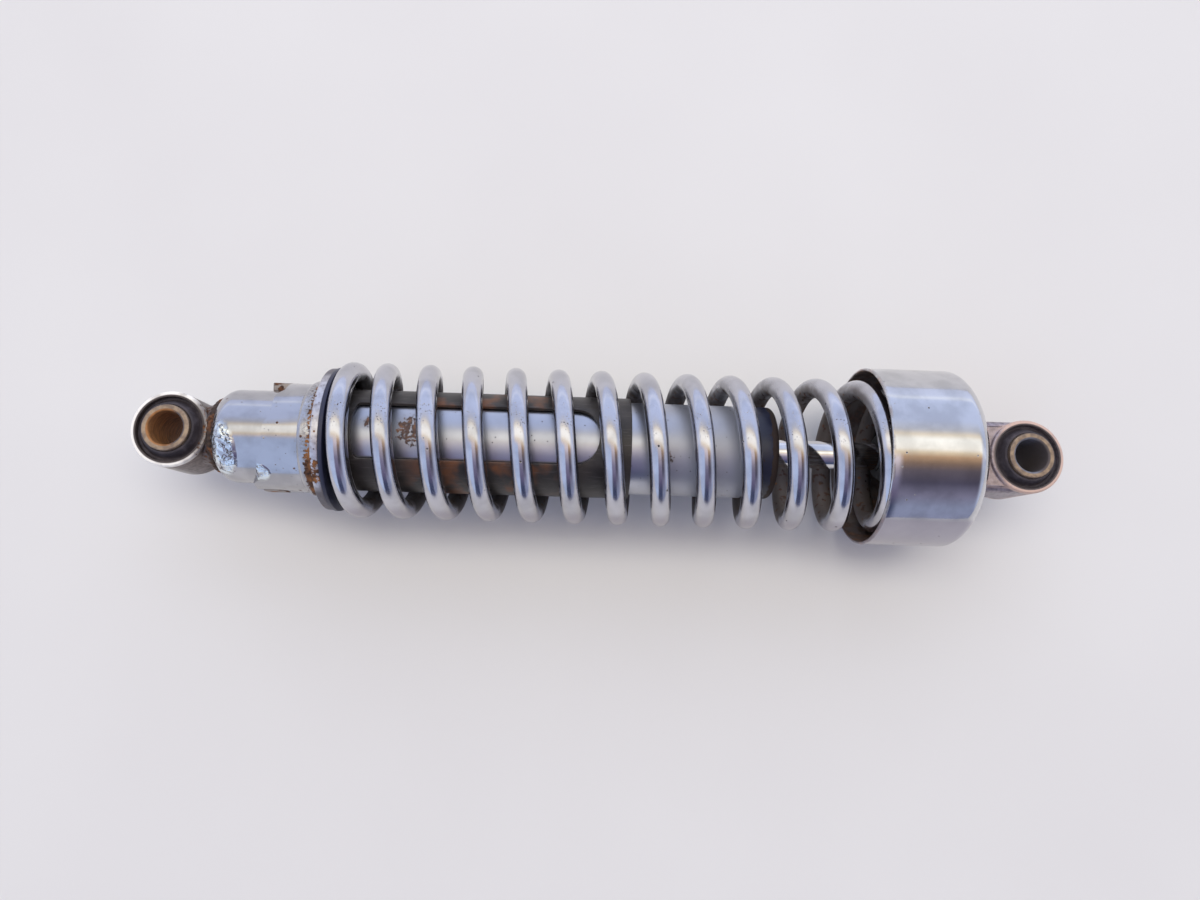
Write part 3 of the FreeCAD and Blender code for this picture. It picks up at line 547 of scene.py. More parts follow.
def steel(name, colour, rough, rusty, seed=0.0, metal=0.9):
    """Worn steel: rusty is the share of the surface that rust has taken."""
    material, tree = new_material(name)
    turned = tree.noise(TURNING_LINES, 2, stretch=(1, 40, 40), seed=seed)
    patch = tree.noise(0.0035, 5, seed=seed + 2)
    rust = patch.ramp(0.66 - 0.34 * rusty, 0.74 - 0.34 * rusty)
    base = tree.mix(turned.ramp(0.3, 0.7), tuple(c * 0.75 for c in colour), colour)
    base = tree.mix(rust, base, rust_colour(tree))
    height = turned * 0.25 + tree.noise(0.0006, 4, seed=seed) * (rust * 0.8 + 0.15)
    surface(tree, base, rough + rust * 0.35 + (turned - 0.5) * 0.15, metal - rust * metal, height, 0.00012)
    return material


def painted(name, colour, rough, chips, edge_x, under=(0.045, 0.030, 0.024)):
    """Paint with chips down to rusty metal; chips is the share that has gone, and all of it past edge_x."""
    material, tree = new_material(name)
    ragged = tree.noise(0.0021, 5, seed=6.0)
    past = tree.axes()[0].ramp(edge_x - 0.0012, edge_x + 0.0004)
    gone = (ragged + past * 0.5).ramp(0.70 - 0.3 * chips, 0.72 - 0.3 * chips)
    dust = tree.noise(0.006, 3, seed=2.0).ramp(0.35, 0.8)
    base = tree.mix(dust * 0.35, colour, tuple(min(1, c * 2.2 + 0.015) for c in colour))
    base = tree.mix(gone, base, under)
    height = tree.noise(0.0005, 3) * 0.2 - gone * 0.6
    surface(tree, base, rough + dust * 0.2 + gone * 0.3, gone * 0.3, height, 0.00012)
    return material


def rubber(name, colour, seed=0.0):
    """Dull black rubber, dusty and finely grained."""
    material, tree = new_material(name)
    dust = tree.noise(0.003, 4, seed=seed).ramp(0.4, 0.75)
    base = tree.mix(dust * 0.6, colour, tuple(c * 2.0 + 0.02 for c in colour))
    grain = tree.noise(0.0004, 3, seed=seed)
    surface(tree, base, grain * 0.2 + 0.48 + dust * 0.15, 0.0, grain + dust, 0.00015)
    return material


# %% [markdown]
# ## Guide
# A nylon sleeve keeps the spring off the tube. It has taken up rust between its windows, and it is
# scuffed lengthwise, as the spring rubs it. Its flange stayed clean, and looks navy.

# %% Guide finish
def guide_material():
    """Dark nylon: rust-stained on the sleeve, navy on the flange."""
    material, tree = new_material("guide_nylon")
    out, x = off_axis(tree)[:2]
    flange = out.ramp(0.0212, 0.0222)
    cloudy = tree.noise(0.012, 4, seed=1.5)
    stain = cloudy.ramp(0.50, 0.66) * x.ramp(0.085, 0.10) * x.ramp(0.155, 0.135)
    scuff = tree.noise(0.0006, 3, stretch=(14, 1, 1), seed=3.3).ramp(0.56, 0.75)
    base = tree.mix(cloudy.ramp(0.3, 0.7), (0.022, 0.019, 0.018), (0.055, 0.048, 0.044))
    base = tree.mix(stain * 0.85, base, (0.19, 0.075, 0.030))
    base = tree.mix(scuff * 0.35, base, (0.16, 0.15, 0.15))
    base = tree.mix(flange, base, (0.018, 0.020, 0.045))
    height = tree.noise(0.0005, 3) * 0.4 + scuff * 0.2
    surface(tree, base, 0.34 + cloudy * 0.2 - flange * 0.10, 0.0, height)
    return material


GUIDE_FINISH = guide_material()
CAP_FINISH = painted("cap_navy", (0.012, 0.015, 0.034), 0.32, 0.12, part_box("tube_end_cap")[1].x - 0.0022)
WASHER_FINISH = steel("washer_zinc", (0.25, 0.225, 0.215), 0.45, 0.42, seed=4.0)


def washer_material():
    """Zinc-plated seat washer: bright where it is rubbed, dirty at its sides, rusty low down."""
    material, tree = new_material("seat_washer_zinc")
    y = tree.axes()[1]
    ragged = tree.noise(0.0018, 5, seed=14.0)
    sides = y.ramp(0.019, 0.023).highest(y.ramp(-0.020, -0.023))
    dirt = (sides * 0.85).highest(ragged.ramp(0.58, 0.75) * 0.6)
    low = y.ramp(-0.009, -0.013) * y.ramp(-0.022, -0.018)
    rust = (low * 0.42 + ragged - 0.80).ramp(0.0, 0.10)
    dots = tree.specks(0.0024, 0.22, 9.0)
    base = tree.mix(ragged.ramp(0.35, 0.65), (0.62, 0.61, 0.64), (0.46, 0.44, 0.46))
    base = tree.mix(dirt, base, (0.085, 0.075, 0.082))
    base = tree.mix(rust.highest(dots), base, rust_colour(tree))
    height = ragged * 0.5 + rust * tree.noise(0.0006, 4)
    rough = 0.30 + ragged * 0.1 + rust * 0.4 + dirt * 0.25
    surface(tree, base, rough, 0.9 - rust.highest(dirt) * 0.8, height, 0.00012)
    return material


SEAT_WASHER_FINISH = washer_material()
LUG_FINISH = steel("lug_rust", (0.42, 0.37, 0.33), 0.50, 0.45, seed=9.0)
WELD_FINISH = steel("weld_rust", (0.10, 0.07, 0.055), 0.55, 0.55, seed=12.0)
RUBBER_FINISH = rubber("bush_rubber", (0.036, 0.029, 0.034))
STOP_FINISH = rubber("stop_rubber", (0.022, 0.022, 0.022), seed=5.0)
print("guide, cap, washer, lug and rubber finishes made")


# %% [markdown]
# ## Eyes and their sleeves
# The eyes are steel rings. Their outer edges are rubbed bright and painted pale as a highlight, their faces hold
# dirt, and the neck at the weld rusts. The sleeves inside are turned, so their marks run in rings.

# %% Eyes and their sleeves
def eye_material(name, plating, worn_and_highlight, centre_x, toward, neck_rust):
    """Forged eye: its outer edges rubbed bright and painted pale as a highlight, dirty on its faces, rusty on the
    neck.
    """
    material, tree = new_material(name)
    x, y, z = tree.axes()
    x = x - centre_x
    out = (x * x + y * y).maths("SQRT")
    ragged = tree.noise(0.0016, 5, seed=centre_x * 50 + 1)
    coarse = tree.noise(0.007, 3, seed=centre_x * 50 + 4)
    # corner and side take the pale colour, barely metallic: partly rubbed steel, partly a painted highlight on the
    # ring's edges.
    corner = abs(z).ramp(0.0104, 0.0112) * out.ramp(0.0130, 0.0134) * (coarse.ramp(0.25, 0.5) * 0.45 + 0.55)
    neck = (x * toward).ramp(0.007, 0.012)
    corner = corner * (1 - neck * 0.8)
    face = abs(z).ramp(0.0116, 0.0121) * out.ramp(0.0139, 0.0134) * (1 - corner)
    rust = (neck * neck_rust + ragged - 0.93).ramp(0.0, 0.12)
    base = tree.mix(ragged.ramp(0.35, 0.7), plating, tuple(c * 0.6 for c in plating))
    base = tree.mix(neck * neck_rust, base, (0.085, 0.060, 0.050))
    # side: the ring's outer side away from the neck, also painted pale as a highlight.
    side = out.ramp(0.0141, 0.0144) * (x * toward).ramp(0.004, -0.006)
    base = tree.mix(side * 0.8, base, worn_and_highlight)
    base = tree.mix(face * 0.9, base, (0.060, 0.047, 0.042))
    base = tree.mix(corner * (ragged.ramp(0.2, 0.45) * 0.4 + 0.6), base, worn_and_highlight)
    base = tree.mix(rust, base, rust_colour(tree))
    height = ragged * 0.5 + tree.noise(0.0005, 3) * 0.2 + rust * 0.3
    metal = 0.85 - (rust * 0.8).highest(face * 0.7).highest(corner * 0.70)
    surface(tree, base, 0.34 + ragged * 0.15 + rust * 0.4 + face * 0.2, metal, height, 0.00015)
    return material


def sleeve_material(name, bore_colour, centre_x, seed):
    """Turned steel sleeve gone tan, with a darker bore."""
    material, tree = new_material(name)
    x, y = tree.axes()[:2]
    x = x - centre_x
    out = (x * x + y * y).maths("SQRT")
    bore = out.ramp(0.0073, 0.0070)
    mottle = tree.noise(0.0022, 5, seed=seed)
    rings = tree.noise(0.0003, 2, stretch=(3, 3, 1), seed=seed)
    base = tree.mix(mottle.ramp(0.35, 0.65), (0.40, 0.30, 0.21), (0.24, 0.18, 0.14))
    deep = tree.noise(0.0045, 2, stretch=(1, 1, 0.2), seed=seed)
    wall = tree.mix(deep.ramp(0.35, 0.65), bore_colour, tuple(c * 0.6 for c in bore_colour))
    wall = tree.mix(x.ramp(0.001, 0.0045), wall, (0.105, 0.085, 0.080))
    base = tree.mix(bore, base, wall)
    surface(tree, base, 0.40 + mottle * 0.15 + bore * 0.2, 0.80 - bore * 0.6, rings + mottle * 0.5)
    return material


# %% [markdown]
# ## Turned pieces
# Nearly everything on a damper is turned or drawn, so one lathe helper makes most of it: an
# outline of (along, out, corner radius) is rounded, then carried round the axis in fine steps.
# Real edges are never sharp, and it is those small radii that catch the light.

# %% Rounding an outline
NEARLY_HALF = 0.49      # an arc stops short of the next corner's arc


def rounded(outline, closed, steps=6):
    """Points of an outline whose corners with a radius become arcs."""
    points = []
    count = len(outline)
    for i, (along, out, radius) in enumerate(outline):
        here = Vector((along, out))
        if radius <= 0 or (not closed and i in (0, count - 1)):
            points.append(here)
            continue
        before = Vector(outline[i - 1][:2]) - here
        after = Vector(outline[(i + 1) % count][:2]) - here
        half_turn = before.angle(after) / 2
        shorter = min(before.length, after.length)
        reach = min(radius / math.tan(half_turn), shorter * NEARLY_HALF)
        radius = reach * math.tan(half_turn)
        start, end = here + before.normalized() * reach, here + after.normalized() * reach
        inward = (before.normalized() + after.normalized()).normalized()
        centre = here + inward * (radius / math.sin(half_turn))
        first, last = start - centre, end - centre
        sweep = first.angle(last)
        for k in range(steps + 1):
            share = k / steps
            spoke = first * math.sin((1 - share) * sweep) + last * math.sin(share * sweep)
            points.append(centre + spoke / math.sin(sweep))
    return points


def subdivided(points, closed, longest):
    """The same line with long stretches cut up, so that later shaping has points to move."""
    result = []
    count = len(points)
    for i in range(count if closed else count - 1):
        a, b = points[i], points[(i + 1) % count]
        cuts = max(1, math.ceil((b - a).length / longest))
        result += [a.lerp(b, k / cuts) for k in range(cuts)]
    if not closed:
        result.append(points[-1])
    return result


print("one corner becomes", len(rounded(((0, 0, 0), (0, 2, 1), (2, 2, 0)), False)) - 2, "points")


# %% [markdown]
# ## The lathe
# The rounded outline is carried round an axis. Both ends of an open outline lie on the axis, where
# a ring shrinks to a single point, so the poles are closed.

# %% The lathe
ALONG_X = Matrix.Identity(3)
ALONG_Z = Matrix(((0, 1, 0), (0, 0, 1), (1, 0, 0)))     # the outline's along becomes Z, its out becomes X


def shaded(mesh, sharp_deg=38):
    """Smooth shading with creases kept where faces meet at more than an angle."""
    mesh.polygons.foreach_set("use_smooth", [True] * len(mesh.polygons))
    mesh.set_sharp_from_angle(angle=math.radians(sharp_deg))


def lathe(name, outline, closed=True, frame_of=ALONG_X, at=(0, 0, 0), around=160, longest=1.0):
    """Mesh turned from an outline of (along, out, corner radius).

    The outline is closed for a ring, or open from axis to axis for a solid shape.
    """
    points = subdivided(rounded(outline, closed), closed, longest)
    work = bmesh.new()
    rings = []
    for along, out in points:
        if out < 1e-7:
            rings.append([work.verts.new(Vector(at) + frame_of @ Vector((along, 0, 0)))])
            continue
        ring = []
        for k in range(around):
            a = 2 * math.pi * k / around
            point = Vector((along, out * math.cos(a), out * math.sin(a)))
            ring.append(work.verts.new(Vector(at) + frame_of @ point))
        rings.append(ring)
    pairs = list(zip(rings, rings[1:])) + ([(rings[-1], rings[0])] if closed else [])
    for first, second in pairs:
        for k in range(around):
            corners = [first[k % len(first)], first[(k + 1) % len(first)],
                       second[(k + 1) % len(second)], second[k % len(second)]]
            corners = [c for n, c in enumerate(corners) if c not in corners[:n]]
            if len(corners) > 2:
                work.faces.new(corners)
    bmesh.ops.remove_doubles(work, verts=work.verts, dist=1e-7)
    bmesh.ops.recalc_face_normals(work, faces=work.faces)
    mesh = bpy.data.meshes.new(name)
    work.to_mesh(mesh)
    work.free()
    shaded(mesh)
    return mesh


# %% [markdown]
# ## Placing a finished piece
# A piece replaces a CAD node and rides on that node's body. Body and slot are looked up from the
# node's name, so a piece can't ride on the wrong body; the slot is not used.

# %% Placing a finished piece
def place(mesh, material, node):
    """Make the mesh a piece that stands for a CAD node and rides on its body."""
    piece = linked(mesh.name, mesh)
    mesh.materials.clear()
    mesh.materials.append(material)
    record = frame["record"]
    body = next(b for b, nodes in record["behaviour"]["bodies"].items() if node in nodes)
    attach(piece, body)
    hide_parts(node)
    next(s["material_slot"] for s in record["subparts"] if s["node"] == node)
    print(f"{piece.name}: {len(mesh.polygons)} faces on {body}")
    return piece


# %% [markdown]
# ## The cover
# A cup is drawn from sheet in one stroke, which leaves an elliptical shoulder and an even wall.
# The outline goes up the outside and comes back down the inside, a wall's thickness away.

# %% Cover cup
cover_low, cover_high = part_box("cover")
COVER_WALL = 1.2 * MM
COVER_AXIAL = 10.5 * MM
COVER_FLAT = 9.8 * MM
HOLE = 9.05 * MM


def shoulder(end_x, outer, flat, axial, inset, side, steps=20):
    """Elliptical shoulder from the skirt to the flat end, as outline points."""
    centre_x, radial = end_x - side * axial, outer - flat
    return [(centre_x + side * (axial - inset) * math.sin(k * math.pi / 2 / steps),
             flat + (radial - inset) * math.cos(k * math.pi / 2 / steps), 0) for k in range(steps + 1)]


outside = shoulder(cover_high.x, cover_high.y, COVER_FLAT, COVER_AXIAL, 0, 1)
inside = shoulder(cover_high.x, cover_high.y, COVER_FLAT, COVER_AXIAL, COVER_WALL, 1)
outline = [(cover_low.x, cover_high.y, 0.5 * MM)] + outside[:-1] + [(cover_high.x, HOLE, 0.3 * MM)]
outline += [(cover_high.x - COVER_WALL, HOLE, 0.3 * MM)] + list(reversed(inside[:-1]))
outline += [(cover_low.x, cover_high.y - COVER_WALL, 0.5 * MM)]
place(lathe("cover_cup", outline, around=256, longest=4 * MM), COVER_FINISH, "cover")

# %% [markdown]
# ## The damper tube
# The tube has a domed end like the cover's, at half the size, and a lip rolled in over the seals at
# the other end. Where the end cap grips it, the outside steps in by the cap's wall.

# %% Damper tube piece
tube_low, tube_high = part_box("damper_tube")
TUBE_WALL = 2.0 * MM
DOME_AXIAL = 8.1 * MM
DOME_FLAT = 8.2 * MM
cap_low, cap_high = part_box("tube_end_cap")
CAP_WALL = 1.1 * MM
LIP = 1.8 * MM
LIP_BORE = 12.5 * MM
tube_r = tube_high.y
dome_out = list(reversed(shoulder(tube_low.x, tube_r, DOME_FLAT, DOME_AXIAL, 0, -1)))
dome_in = shoulder(tube_low.x, tube_r, DOME_FLAT, DOME_AXIAL, TUBE_WALL, -1)
outline = [(tube_low.x, 0, 0)] + dome_out
outline += [(cap_low.x, tube_r, 0.2 * MM), (cap_low.x, tube_r - CAP_WALL, 0.2 * MM)]
outline += [(tube_high.x, tube_r - CAP_WALL, 0.8 * MM), (tube_high.x, LIP_BORE, 0.4 * MM)]
outline += [(tube_high.x - LIP, LIP_BORE, 0.4 * MM), (tube_high.x - LIP, tube_r - TUBE_WALL, 0.3 * MM)]
outline += dome_in + [(tube_low.x + TUBE_WALL, 0, 0)]
tube_mesh = lathe("damper_body", outline, closed=False, around=224, longest=3 * MM)
place(tube_mesh, TUBE_FINISH, "damper_tube")

# %% [markdown]
# ## The end cap
# A painted pressing closes the open end. It is the same outline twice, a wall apart, with a larger
# radius at the corner that shows.

# %% End cap
cap_bore = 7.0 * MM
outline = [(cap_low.x, tube_r - CAP_WALL, 0.2 * MM), (cap_low.x, tube_r, 0.3 * MM),
           (cap_high.x, tube_r, 2.0 * MM), (cap_high.x, cap_bore, 0.3 * MM),
           (cap_high.x - CAP_WALL, cap_bore, 0.3 * MM),
           (cap_high.x - CAP_WALL, tube_r - CAP_WALL, 1.0 * MM)]
place(lathe("end_cap", outline, around=192), CAP_FINISH, "tube_end_cap")

# %% [markdown]
# ## The rod
# Hard-chromed and ground, with a thinner spigot for the piston and a thread for the upper eye. The
# steps lie where the nodes beside them begin, so they are read from the frame.

# %% Rod
rod_low, rod_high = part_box("piston_rod")
rod_r = rod_high.y
SPIGOT = 4.0 * MM
THREAD = 5.0 * MM
shoulder_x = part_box("check_stop_washer")[1].x
nut_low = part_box("rod_lock_nut")[0]
outline = [(rod_low.x, 0, 0), (rod_low.x, SPIGOT, 0.6 * MM), (shoulder_x, SPIGOT, 0.1 * MM),
           (shoulder_x, rod_r, 0.4 * MM), (nut_low.x, rod_r, 0.4 * MM), (nut_low.x, THREAD, 0.1 * MM),
           (rod_high.x, THREAD, 0.6 * MM), (rod_high.x, 0, 0)]
place(lathe("rod", outline, closed=False, around=96, longest=5 * MM), ROD_FINISH, "piston_rod")

# %% [markdown]
# ## The seat washer
# A plain ring that stands between cam and guide. Its edges are rounded unequally, because a washer
# is punched from one side.

# %% Seat washer
low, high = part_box("seat_washer")
bore = tube_r + 0.35 * MM
outline = [(low.x, bore, 0.3 * MM), (low.x, high.y, 0.9 * MM),
           (high.x, high.y, 0.5 * MM), (high.x, bore, 0.3 * MM)]
place(lathe("spring_seat_washer", outline, around=192), SEAT_WASHER_FINISH, "seat_washer")

# %% [markdown]
# ## The bushes
# Each eye holds a steel sleeve in bonded rubber. The rubber stands in rings: a groove by the eye, a
# crest by the sleeve. Half its outline is written, and the other half is its mirror.

# %% Eye bushes
BOLT = 6.4 * MM          # half the bolt hole
EYE_WALL = 2.0 * MM
RIM_DEPTH = 1.6 * MM     # rubber's outer edge below the eye's face
CREST_DEPTH = 1.4 * MM   # rubber's crest below the sleeve's end
bushes = (("lower", 0.0, (0.42, 0.19, 0.065), 0.5), ("upper", 0.33, (0.20, 0.20, 0.23), 8.0))
for end, centre_x, bore_colour, seed in bushes:
    low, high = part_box(end + "_bushing_sleeve")
    sleeve_r = high.x - centre_x
    half = high.z
    outline = [(-half, BOLT, 0.8 * MM), (-half, sleeve_r, 0.4 * MM),
               (half, sleeve_r, 0.4 * MM), (half, BOLT, 0.8 * MM)]
    finish = sleeve_material(end + "_sleeve_steel", bore_colour, centre_x, seed)
    mesh = lathe(end + "_sleeve", outline, frame_of=ALONG_Z, at=(centre_x, 0, 0), around=128, longest=3 * MM)
    place(mesh, finish, end + "_bushing_sleeve")

    ring_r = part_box(end + "_eye")[1].y
    outer = ring_r - EYE_WALL
    inner = sleeve_r + 0.05 * MM
    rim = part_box(end + "_eye")[1].z - RIM_DEPTH
    crest = half - CREST_DEPTH
    width = outer - inner
    half_line = [(rim, outer, 0.2 * MM), (rim - 0.7 * MM, outer - 0.22 * width, 0.5 * MM),
                 (rim + 0.1 * MM, outer - 0.42 * width, 0.6 * MM),
                 (crest - 0.3 * MM, inner + 0.26 * width, 0.5 * MM),
                 (crest, inner + 0.1 * width, 0.3 * MM), (crest - 0.2 * MM, inner, 0.1 * MM)]
    outline = half_line + [(-a, o, r) for a, o, r in reversed(half_line)]
    mesh = lathe(end + "_rubber", outline, frame_of=ALONG_Z, at=(centre_x, 0, 0), around=128, longest=3 * MM)
    place(mesh, RUBBER_FINISH, end + "_bushing_rubber")

# %% [markdown]
# ## The coil spring
# A spring is a rule: a round wire that climbs a cylinder, flat at both ends where it is closed,
# and eased into its pitch. Geometry Nodes work the centre line out point by point, so turns,
# wire and length stay inputs. The foot of the spring is a separate piece, for the part that would
# give when the cam raises the seat; the rest would give when the shock is compressed.

# %% The coil's node tree
def coil_tree():
    """Geometry Nodes: a wire coil between two seats, drawn from one turn count to another."""
    group = bpy.data.node_groups.new("coil", "GeometryNodeTree")
    group.interface.new_socket("Geometry", in_out="OUTPUT", socket_type="NodeSocketGeometry")
    names = ["Foot", "Top", "Foot radius", "Top radius", "Wire", "Turns", "Ease", "Growth", "From", "To"]
    for name in names:
        group.interface.new_socket(name, in_out="INPUT", socket_type="NodeSocketFloat")
    group.interface.new_socket("Points", in_out="INPUT", socket_type="NodeSocketInt")
    group.interface.new_socket("Finish", in_out="INPUT", socket_type="NodeSocketMaterial")
    tree = Tree(group)
    given = tree.node("NodeGroupInput").socket.node
    foot, top, foot_r, top_r, wire, turns, ease, growth, start, end, points, finish = [
        Value(tree, given.outputs[name]) for name in names + ["Points", "Finish"]]

    line = tree.node("GeometryNodeCurvePrimitiveLine", None, {"Start": (0, 0, 0), "End": (1, 0, 0)})
    line = tree.node("GeometryNodeResampleCurve", None, {"Curve": line, "Count": points})
    share = tree.node("GeometryNodeSplineParameter", out="Factor")
    turn = start + share * (end - start)

    def climbed(at):
        bent = (at + ease / 2).highest(0).lowest(ease)
        return bent * bent / (ease * 2) + (at - ease / 2).highest(0)

    even = (climbed(turn) - climbed(turn - turns)) / turns
    risen = even * (growth * (even - 1) / 2 + 1)
    angle = turn * (2 * math.pi)
    radius = foot_r + (top_r - foot_r) * risen
    place_on = tree.node("ShaderNodeCombineXYZ", None, {
        "X": foot + (top - foot) * risen, "Y": radius * angle.sine() * -1, "Z": radius * angle.cosine()})
    coil = tree.node("GeometryNodeSetPosition", None, {"Geometry": line, "Position": place_on})
    section = tree.node("GeometryNodeCurvePrimitiveCircle", None, {"Resolution": 32, "Radius": wire})
    sweep = {"Curve": coil, "Profile Curve": section, "Fill Caps": True}
    tube = tree.node("GeometryNodeCurveToMesh", None, sweep)
    tube = tree.node("GeometryNodeRealizeInstances", None, {"Geometry": tube})
    tube = tree.node("GeometryNodeSetMaterial", None, {"Geometry": tube, "Material": finish})
    tree.node("NodeGroupOutput", None, {"Geometry": tube})
    return group


COIL = coil_tree()
print("coil tree with", len(COIL.nodes), "nodes")


# %% [markdown]
# ## From a tree to a mesh
# The tree runs once, as a modifier on an empty mesh, and its result is copied out. The carrier is
# then deleted, so no live modifier is left on the piece.

# %% From a node tree to a plain mesh
def copied_out(carrier, name):
    """The mesh that an object's modifiers make; the object itself is deleted."""
    graph = bpy.context.evaluated_depsgraph_get()
    mesh = bpy.data.meshes.new_from_object(carrier.evaluated_get(graph))
    bpy.data.objects.remove(carrier)
    mesh.name = name
    return mesh


def grown(name, group, values):
    """Run a geometry tree on an empty mesh and keep the result as a plain mesh."""
    carrier = linked(name + "_carrier", bpy.data.meshes.new(name + "_carrier"))
    modifier = carrier.modifiers.new("grow", "NODES")
    modifier.node_group = group
    for item in group.interface.items_tree:
        if item.in_out == "INPUT" and item.name in values:
            modifier[item.identifier] = values[item.name]
    mesh = copied_out(carrier, name)
    work = bmesh.new()
    work.from_mesh(mesh)
    bmesh.ops.remove_doubles(work, verts=work.verts, dist=1e-7)
    bmesh.ops.recalc_face_normals(work, faces=work.faces)
    work.to_mesh(mesh)
    work.free()
    shaded(mesh)
    return mesh


# %% [markdown]
# ## The main spring
# Two joints shorten this spring: the cam lifts its foot, and the rod pushes its top. A piece can
# follow one joint only, so the wire is parted at one and a half turns. How far each part would
# shrink towards the cut is worked out, but not applied.

# %% The main spring in two pieces
low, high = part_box("coil_spring")
WIRE = 3.9 * MM
TURNS, DEAD, EASE, GROWTH = 13.7, 0.42, 0.3, 0.06
SPLIT = 1.5
centre_r = 26.7 * MM
spring = {"Foot": low.x + WIRE, "Top": high.x - WIRE, "Foot radius": centre_r, "Top radius": centre_r,
          "Wire": WIRE, "Turns": TURNS, "Ease": EASE, "Growth": GROWTH, "Finish": SPRING_FINISH}
foot_mesh = grown("coil_spring_foot", COIL, {**spring, "From": -DEAD, "To": SPLIT, "Points": 160})
main_mesh = grown("coil_spring_main", COIL, {**spring, "From": SPLIT, "To": TURNS + DEAD, "Points": 960})
foot_piece = place(foot_mesh, SPRING_FINISH, "coil_spring")
main_piece = place(main_mesh, SPRING_FINISH, "coil_spring")

joints = {j["name"]: j for j in frame["joints"]}
even = SPLIT / TURNS
split_x = spring["Foot"] + (spring["Top"] - spring["Foot"]) * even * (1 + GROWTH * (even - 1) / 2)
stroke = -joints["shock_travel"]["range_m"][0]
lift = joints["preload_lift"]["range_m"][1]
main_keep = 1 - stroke / (high.x - split_x)
foot_keep = 1 - lift / (split_x - low.x)
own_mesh(main_piece)
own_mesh(foot_piece)
print("spring parts at x", round(split_x / MM, 1), "mm")

# %% [markdown]
# ## The weld bead
# The lower eye is welded on, and the pool of metal freezes in ripples as the torch moves round.
# A ring whose thickness swells and shrinks along its length shows that; its ripples are made
# uneven by a slower wave, as a hand's are.

# %% Weld bead
low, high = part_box("lower_eye_weld")
BEAD = 1.7 * MM
bead_ring, bead_x = high.y - BEAD, low.x + BEAD
work = bmesh.new()
RINGS, SIDES, RIPPLES = 252, 20, 42
grid = []
for k in range(RINGS):
    a = 2 * math.pi * k / RINGS
    swell = BEAD * (0.93 + 0.07 * math.sin(RIPPLES * a + 0.6 * math.sin(3 * a)))
    for n in range(SIDES):
        b = 2 * math.pi * n / SIDES
        out = bead_ring + swell * math.cos(b)
        grid.append(work.verts.new((bead_x + swell * math.sin(b), out * math.cos(a), out * math.sin(a))))
for k in range(RINGS):
    for n in range(SIDES):
        k2, n2 = (k + 1) % RINGS * SIDES, (n + 1) % SIDES
        work.faces.new((grid[k * SIDES + n], grid[k * SIDES + n2], grid[k2 + n2], grid[k2 + n]))
bmesh.ops.recalc_face_normals(work, faces=work.faces)
bead_mesh = bpy.data.meshes.new("weld_bead")
work.to_mesh(bead_mesh)
work.free()
shaded(bead_mesh, 80)
place(bead_mesh, WELD_FINISH, "lower_eye_weld")

# %% [markdown]
# ## The bump stop
# Moulded rubber on the rod, waisted so that it folds evenly. At full stroke the end cap meets it;
# how far it would be squashed, to leave a hair's breadth, is worked out but not applied.

# %% Bump stop
low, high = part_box("bump_stop")
bore = rod_r + 0.05 * MM
third = (high.x - low.x) / 3
stop_r = high.y
outline = [(low.x, bore, 0.4 * MM), (low.x, stop_r * 0.72, 1.2 * MM),
           (low.x + third * 0.45, stop_r * 0.9, 1.5 * MM), (low.x + third, stop_r * 0.78, 1.5 * MM),
           (low.x + third * 1.5, stop_r, 1.5 * MM),
           (low.x + third * 2, stop_r * 0.82, 1.5 * MM), (low.x + third * 2.5, stop_r, 1.2 * MM),
           (high.x, stop_r, 0.8 * MM), (high.x, bore, 0.3 * MM)]
stop_piece = place(lathe("bump_rubber", outline, around=96, longest=1 * MM), STOP_FINISH, "bump_stop")
CONTACT_GAP = 0.25 * MM
squashed = (high.x - stroke - cap_high.x - CONTACT_GAP) / (high.x - low.x)
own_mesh(stop_piece)

# %% [markdown]
# ## Valve springs
# The valves inside have springs of their own: a conical one under the foot valve, and a straight
# one behind the piston. The same coil tree draws both.

# %% Valve springs
VALVE_STEEL = steel("valve_steel", (0.55, 0.55, 0.57), 0.28, 0.02, seed=2.0)
VALVE_WIRE = 0.6 * MM
valve = {"Wire": VALVE_WIRE, "Ease": 0.2, "Growth": 0.0, "Points": 120, "From": -0.1, "Finish": VALVE_STEEL}
coils = (("foot_valve_spring", 6.65, 3.45, 2.2), ("rebound_valve_spring", 5.2, 5.2, 3.0))
for node, foot_r, top_r, turns in coils:
    low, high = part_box(node)
    shape = {"Foot": low.x + VALVE_WIRE, "Top": high.x - VALVE_WIRE, "Turns": turns, "To": turns + 0.1,
             "Foot radius": foot_r * MM, "Top radius": top_r * MM}
    piece = place(grown(node + "_coil", COIL, {**valve, **shape}), VALVE_STEEL, node)
    if node == "foot_valve_spring":
        give = joints["foot_plate_lift"]["range_m"][1] / (high.x - low.x)
        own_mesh(piece)

# %% [markdown]
# ## Pieces kept from CAD
# The rest keep their CAD shape. A copy of each is welded, its edges are bevelled a little, and it
# gets a finish. Inside parts are treated the same way.

# %% Softened copies
def softened(node, name, bevel):
    """A copy of a CAD node's mesh with its edges bevelled."""
    mesh = frame["nodes"][node].data.copy()
    mesh.name = name
    work = bmesh.new()
    work.from_mesh(mesh)
    bmesh.ops.remove_doubles(work, verts=work.verts, dist=1e-7)
    bmesh.ops.dissolve_limit(work, angle_limit=math.radians(0.6), verts=work.verts, edges=work.edges)
    work.to_mesh(mesh)
    work.free()
    carrier = linked(name, mesh)
    cut = carrier.modifiers.new("edges", "BEVEL")
    cut.width = bevel
    cut.segments = 3
    cut.limit_method = "ANGLE"
    cut.angle_limit = math.radians(35)
    cut.use_clamp_overlap = True
    result = copied_out(carrier, name)
    shaded(result)
    return result


# %% [markdown]
# ## Their finishes
# A table gives each of these nodes a finish. Small turned parts of the valves share one bright
# steel, which is what they get when the table doesn't name them.

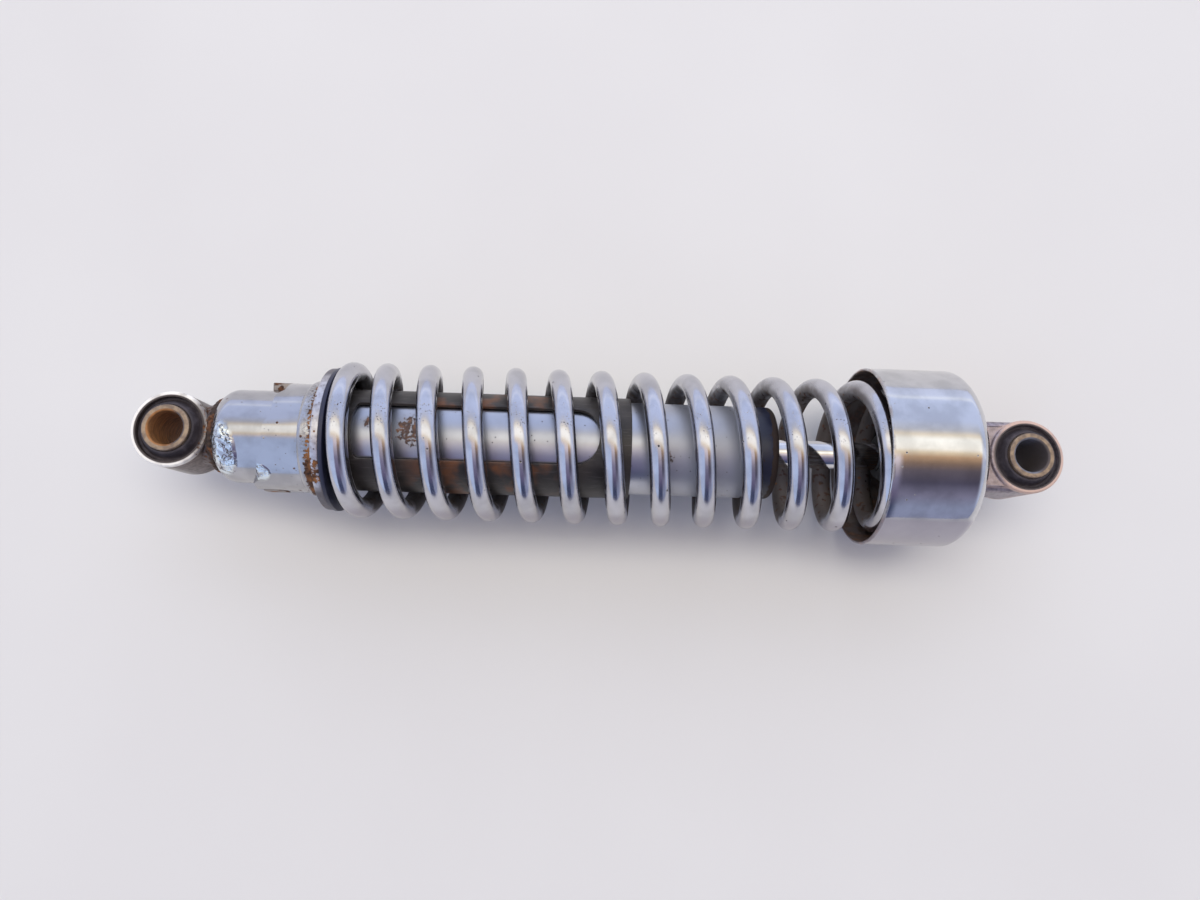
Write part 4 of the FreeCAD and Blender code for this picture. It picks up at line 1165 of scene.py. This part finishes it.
# %% Finishes of the nodes that stay
# The third colour is the pale one of the rubbed edges and their painted highlight.
LOWER_EYE_FINISH = eye_material("lower_eye_steel", (0.20, 0.165, 0.16), (0.90, 0.87, 0.81), 0.0, 1, 0.42)
UPPER_EYE_FINISH = eye_material("upper_eye_steel", (0.42, 0.37, 0.40), (0.62, 0.44, 0.36), 0.33, -1, 0.10)
GUIDE_STEEL = steel("sintered_iron", (0.26, 0.25, 0.25), 0.55, 0.05, seed=1.0, metal=0.7)
BRONZE = steel("bearing_bronze", (0.60, 0.42, 0.22), 0.35, 0.02, seed=3.0)
SEAL = rubber("seal_rubber", (0.016, 0.016, 0.018), seed=7.0)
BAND = rubber("band_plastic", (0.20, 0.14, 0.09), seed=8.0)
kept = {
    "lower_eye": LOWER_EYE_FINISH, "upper_eye": UPPER_EYE_FINISH,
    "cam_lugs": LUG_FINISH, "adjusting_cam": CAM_FINISH, "spring_guide": GUIDE_FINISH,
    "upper_spring_seat": WASHER_FINISH, "bump_stop_washer": WASHER_FINISH,
    "rod_lock_nut": WASHER_FINISH, "inner_cylinder": VALVE_STEEL, "foot_valve_body": GUIDE_STEEL,
    "piston": GUIDE_STEEL, "rod_guide": GUIDE_STEEL, "rod_guide_bush": BRONZE, "piston_ring": BAND,
    "oil_seal": SEAL, "dust_wiper": SEAL, "rebound_bumper": STOP_FINISH,
}
print("finishes for", len(kept), "nodes")

# %% [markdown]
# ## Which ones are softened
# Only the nodes whose edges can be seen are bevelled, by these widths in millimetres. The rest
# keep their mesh and just take their finish.

# %% Soften and finish
BEVELS = {"lower_eye": 0.45, "upper_eye": 0.45, "adjusting_cam": 0.25, "cam_lugs": 0.3, "spring_guide": 0.3,
          "rod_lock_nut": 0.25, "bump_stop_washer": 0.3, "upper_spring_seat": 0.3, "piston": 0.25,
          "rod_guide": 0.3, "foot_valve_body": 0.25, "piston_nut": 0.2, "inner_cylinder": 0.15}
for node, bevel in BEVELS.items():
    place(softened(node, node + "_soft", bevel * MM), kept.get(node, VALVE_STEEL), node)

low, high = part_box("check_spring")
cone = place(softened("check_spring", "check_spring_cone", 0.08 * MM), VALVE_STEEL, "check_spring")
give = joints["check_plate_lift"]["range_m"][1] / (high.x - low.x)
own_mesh(cone)
for node, piece in frame["nodes"].items():
    piece.data.materials.clear()
    piece.data.materials.append(kept.get(node, VALVE_STEEL))

# %% [markdown]
# ## Sizes
# The visual box is printed here; the CAD box was printed at the start.

# %% Sizes, then the end
low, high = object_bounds()
print("visual box", [round(v / MM, 1) for v in low], [round(v / MM, 1) for v in high])
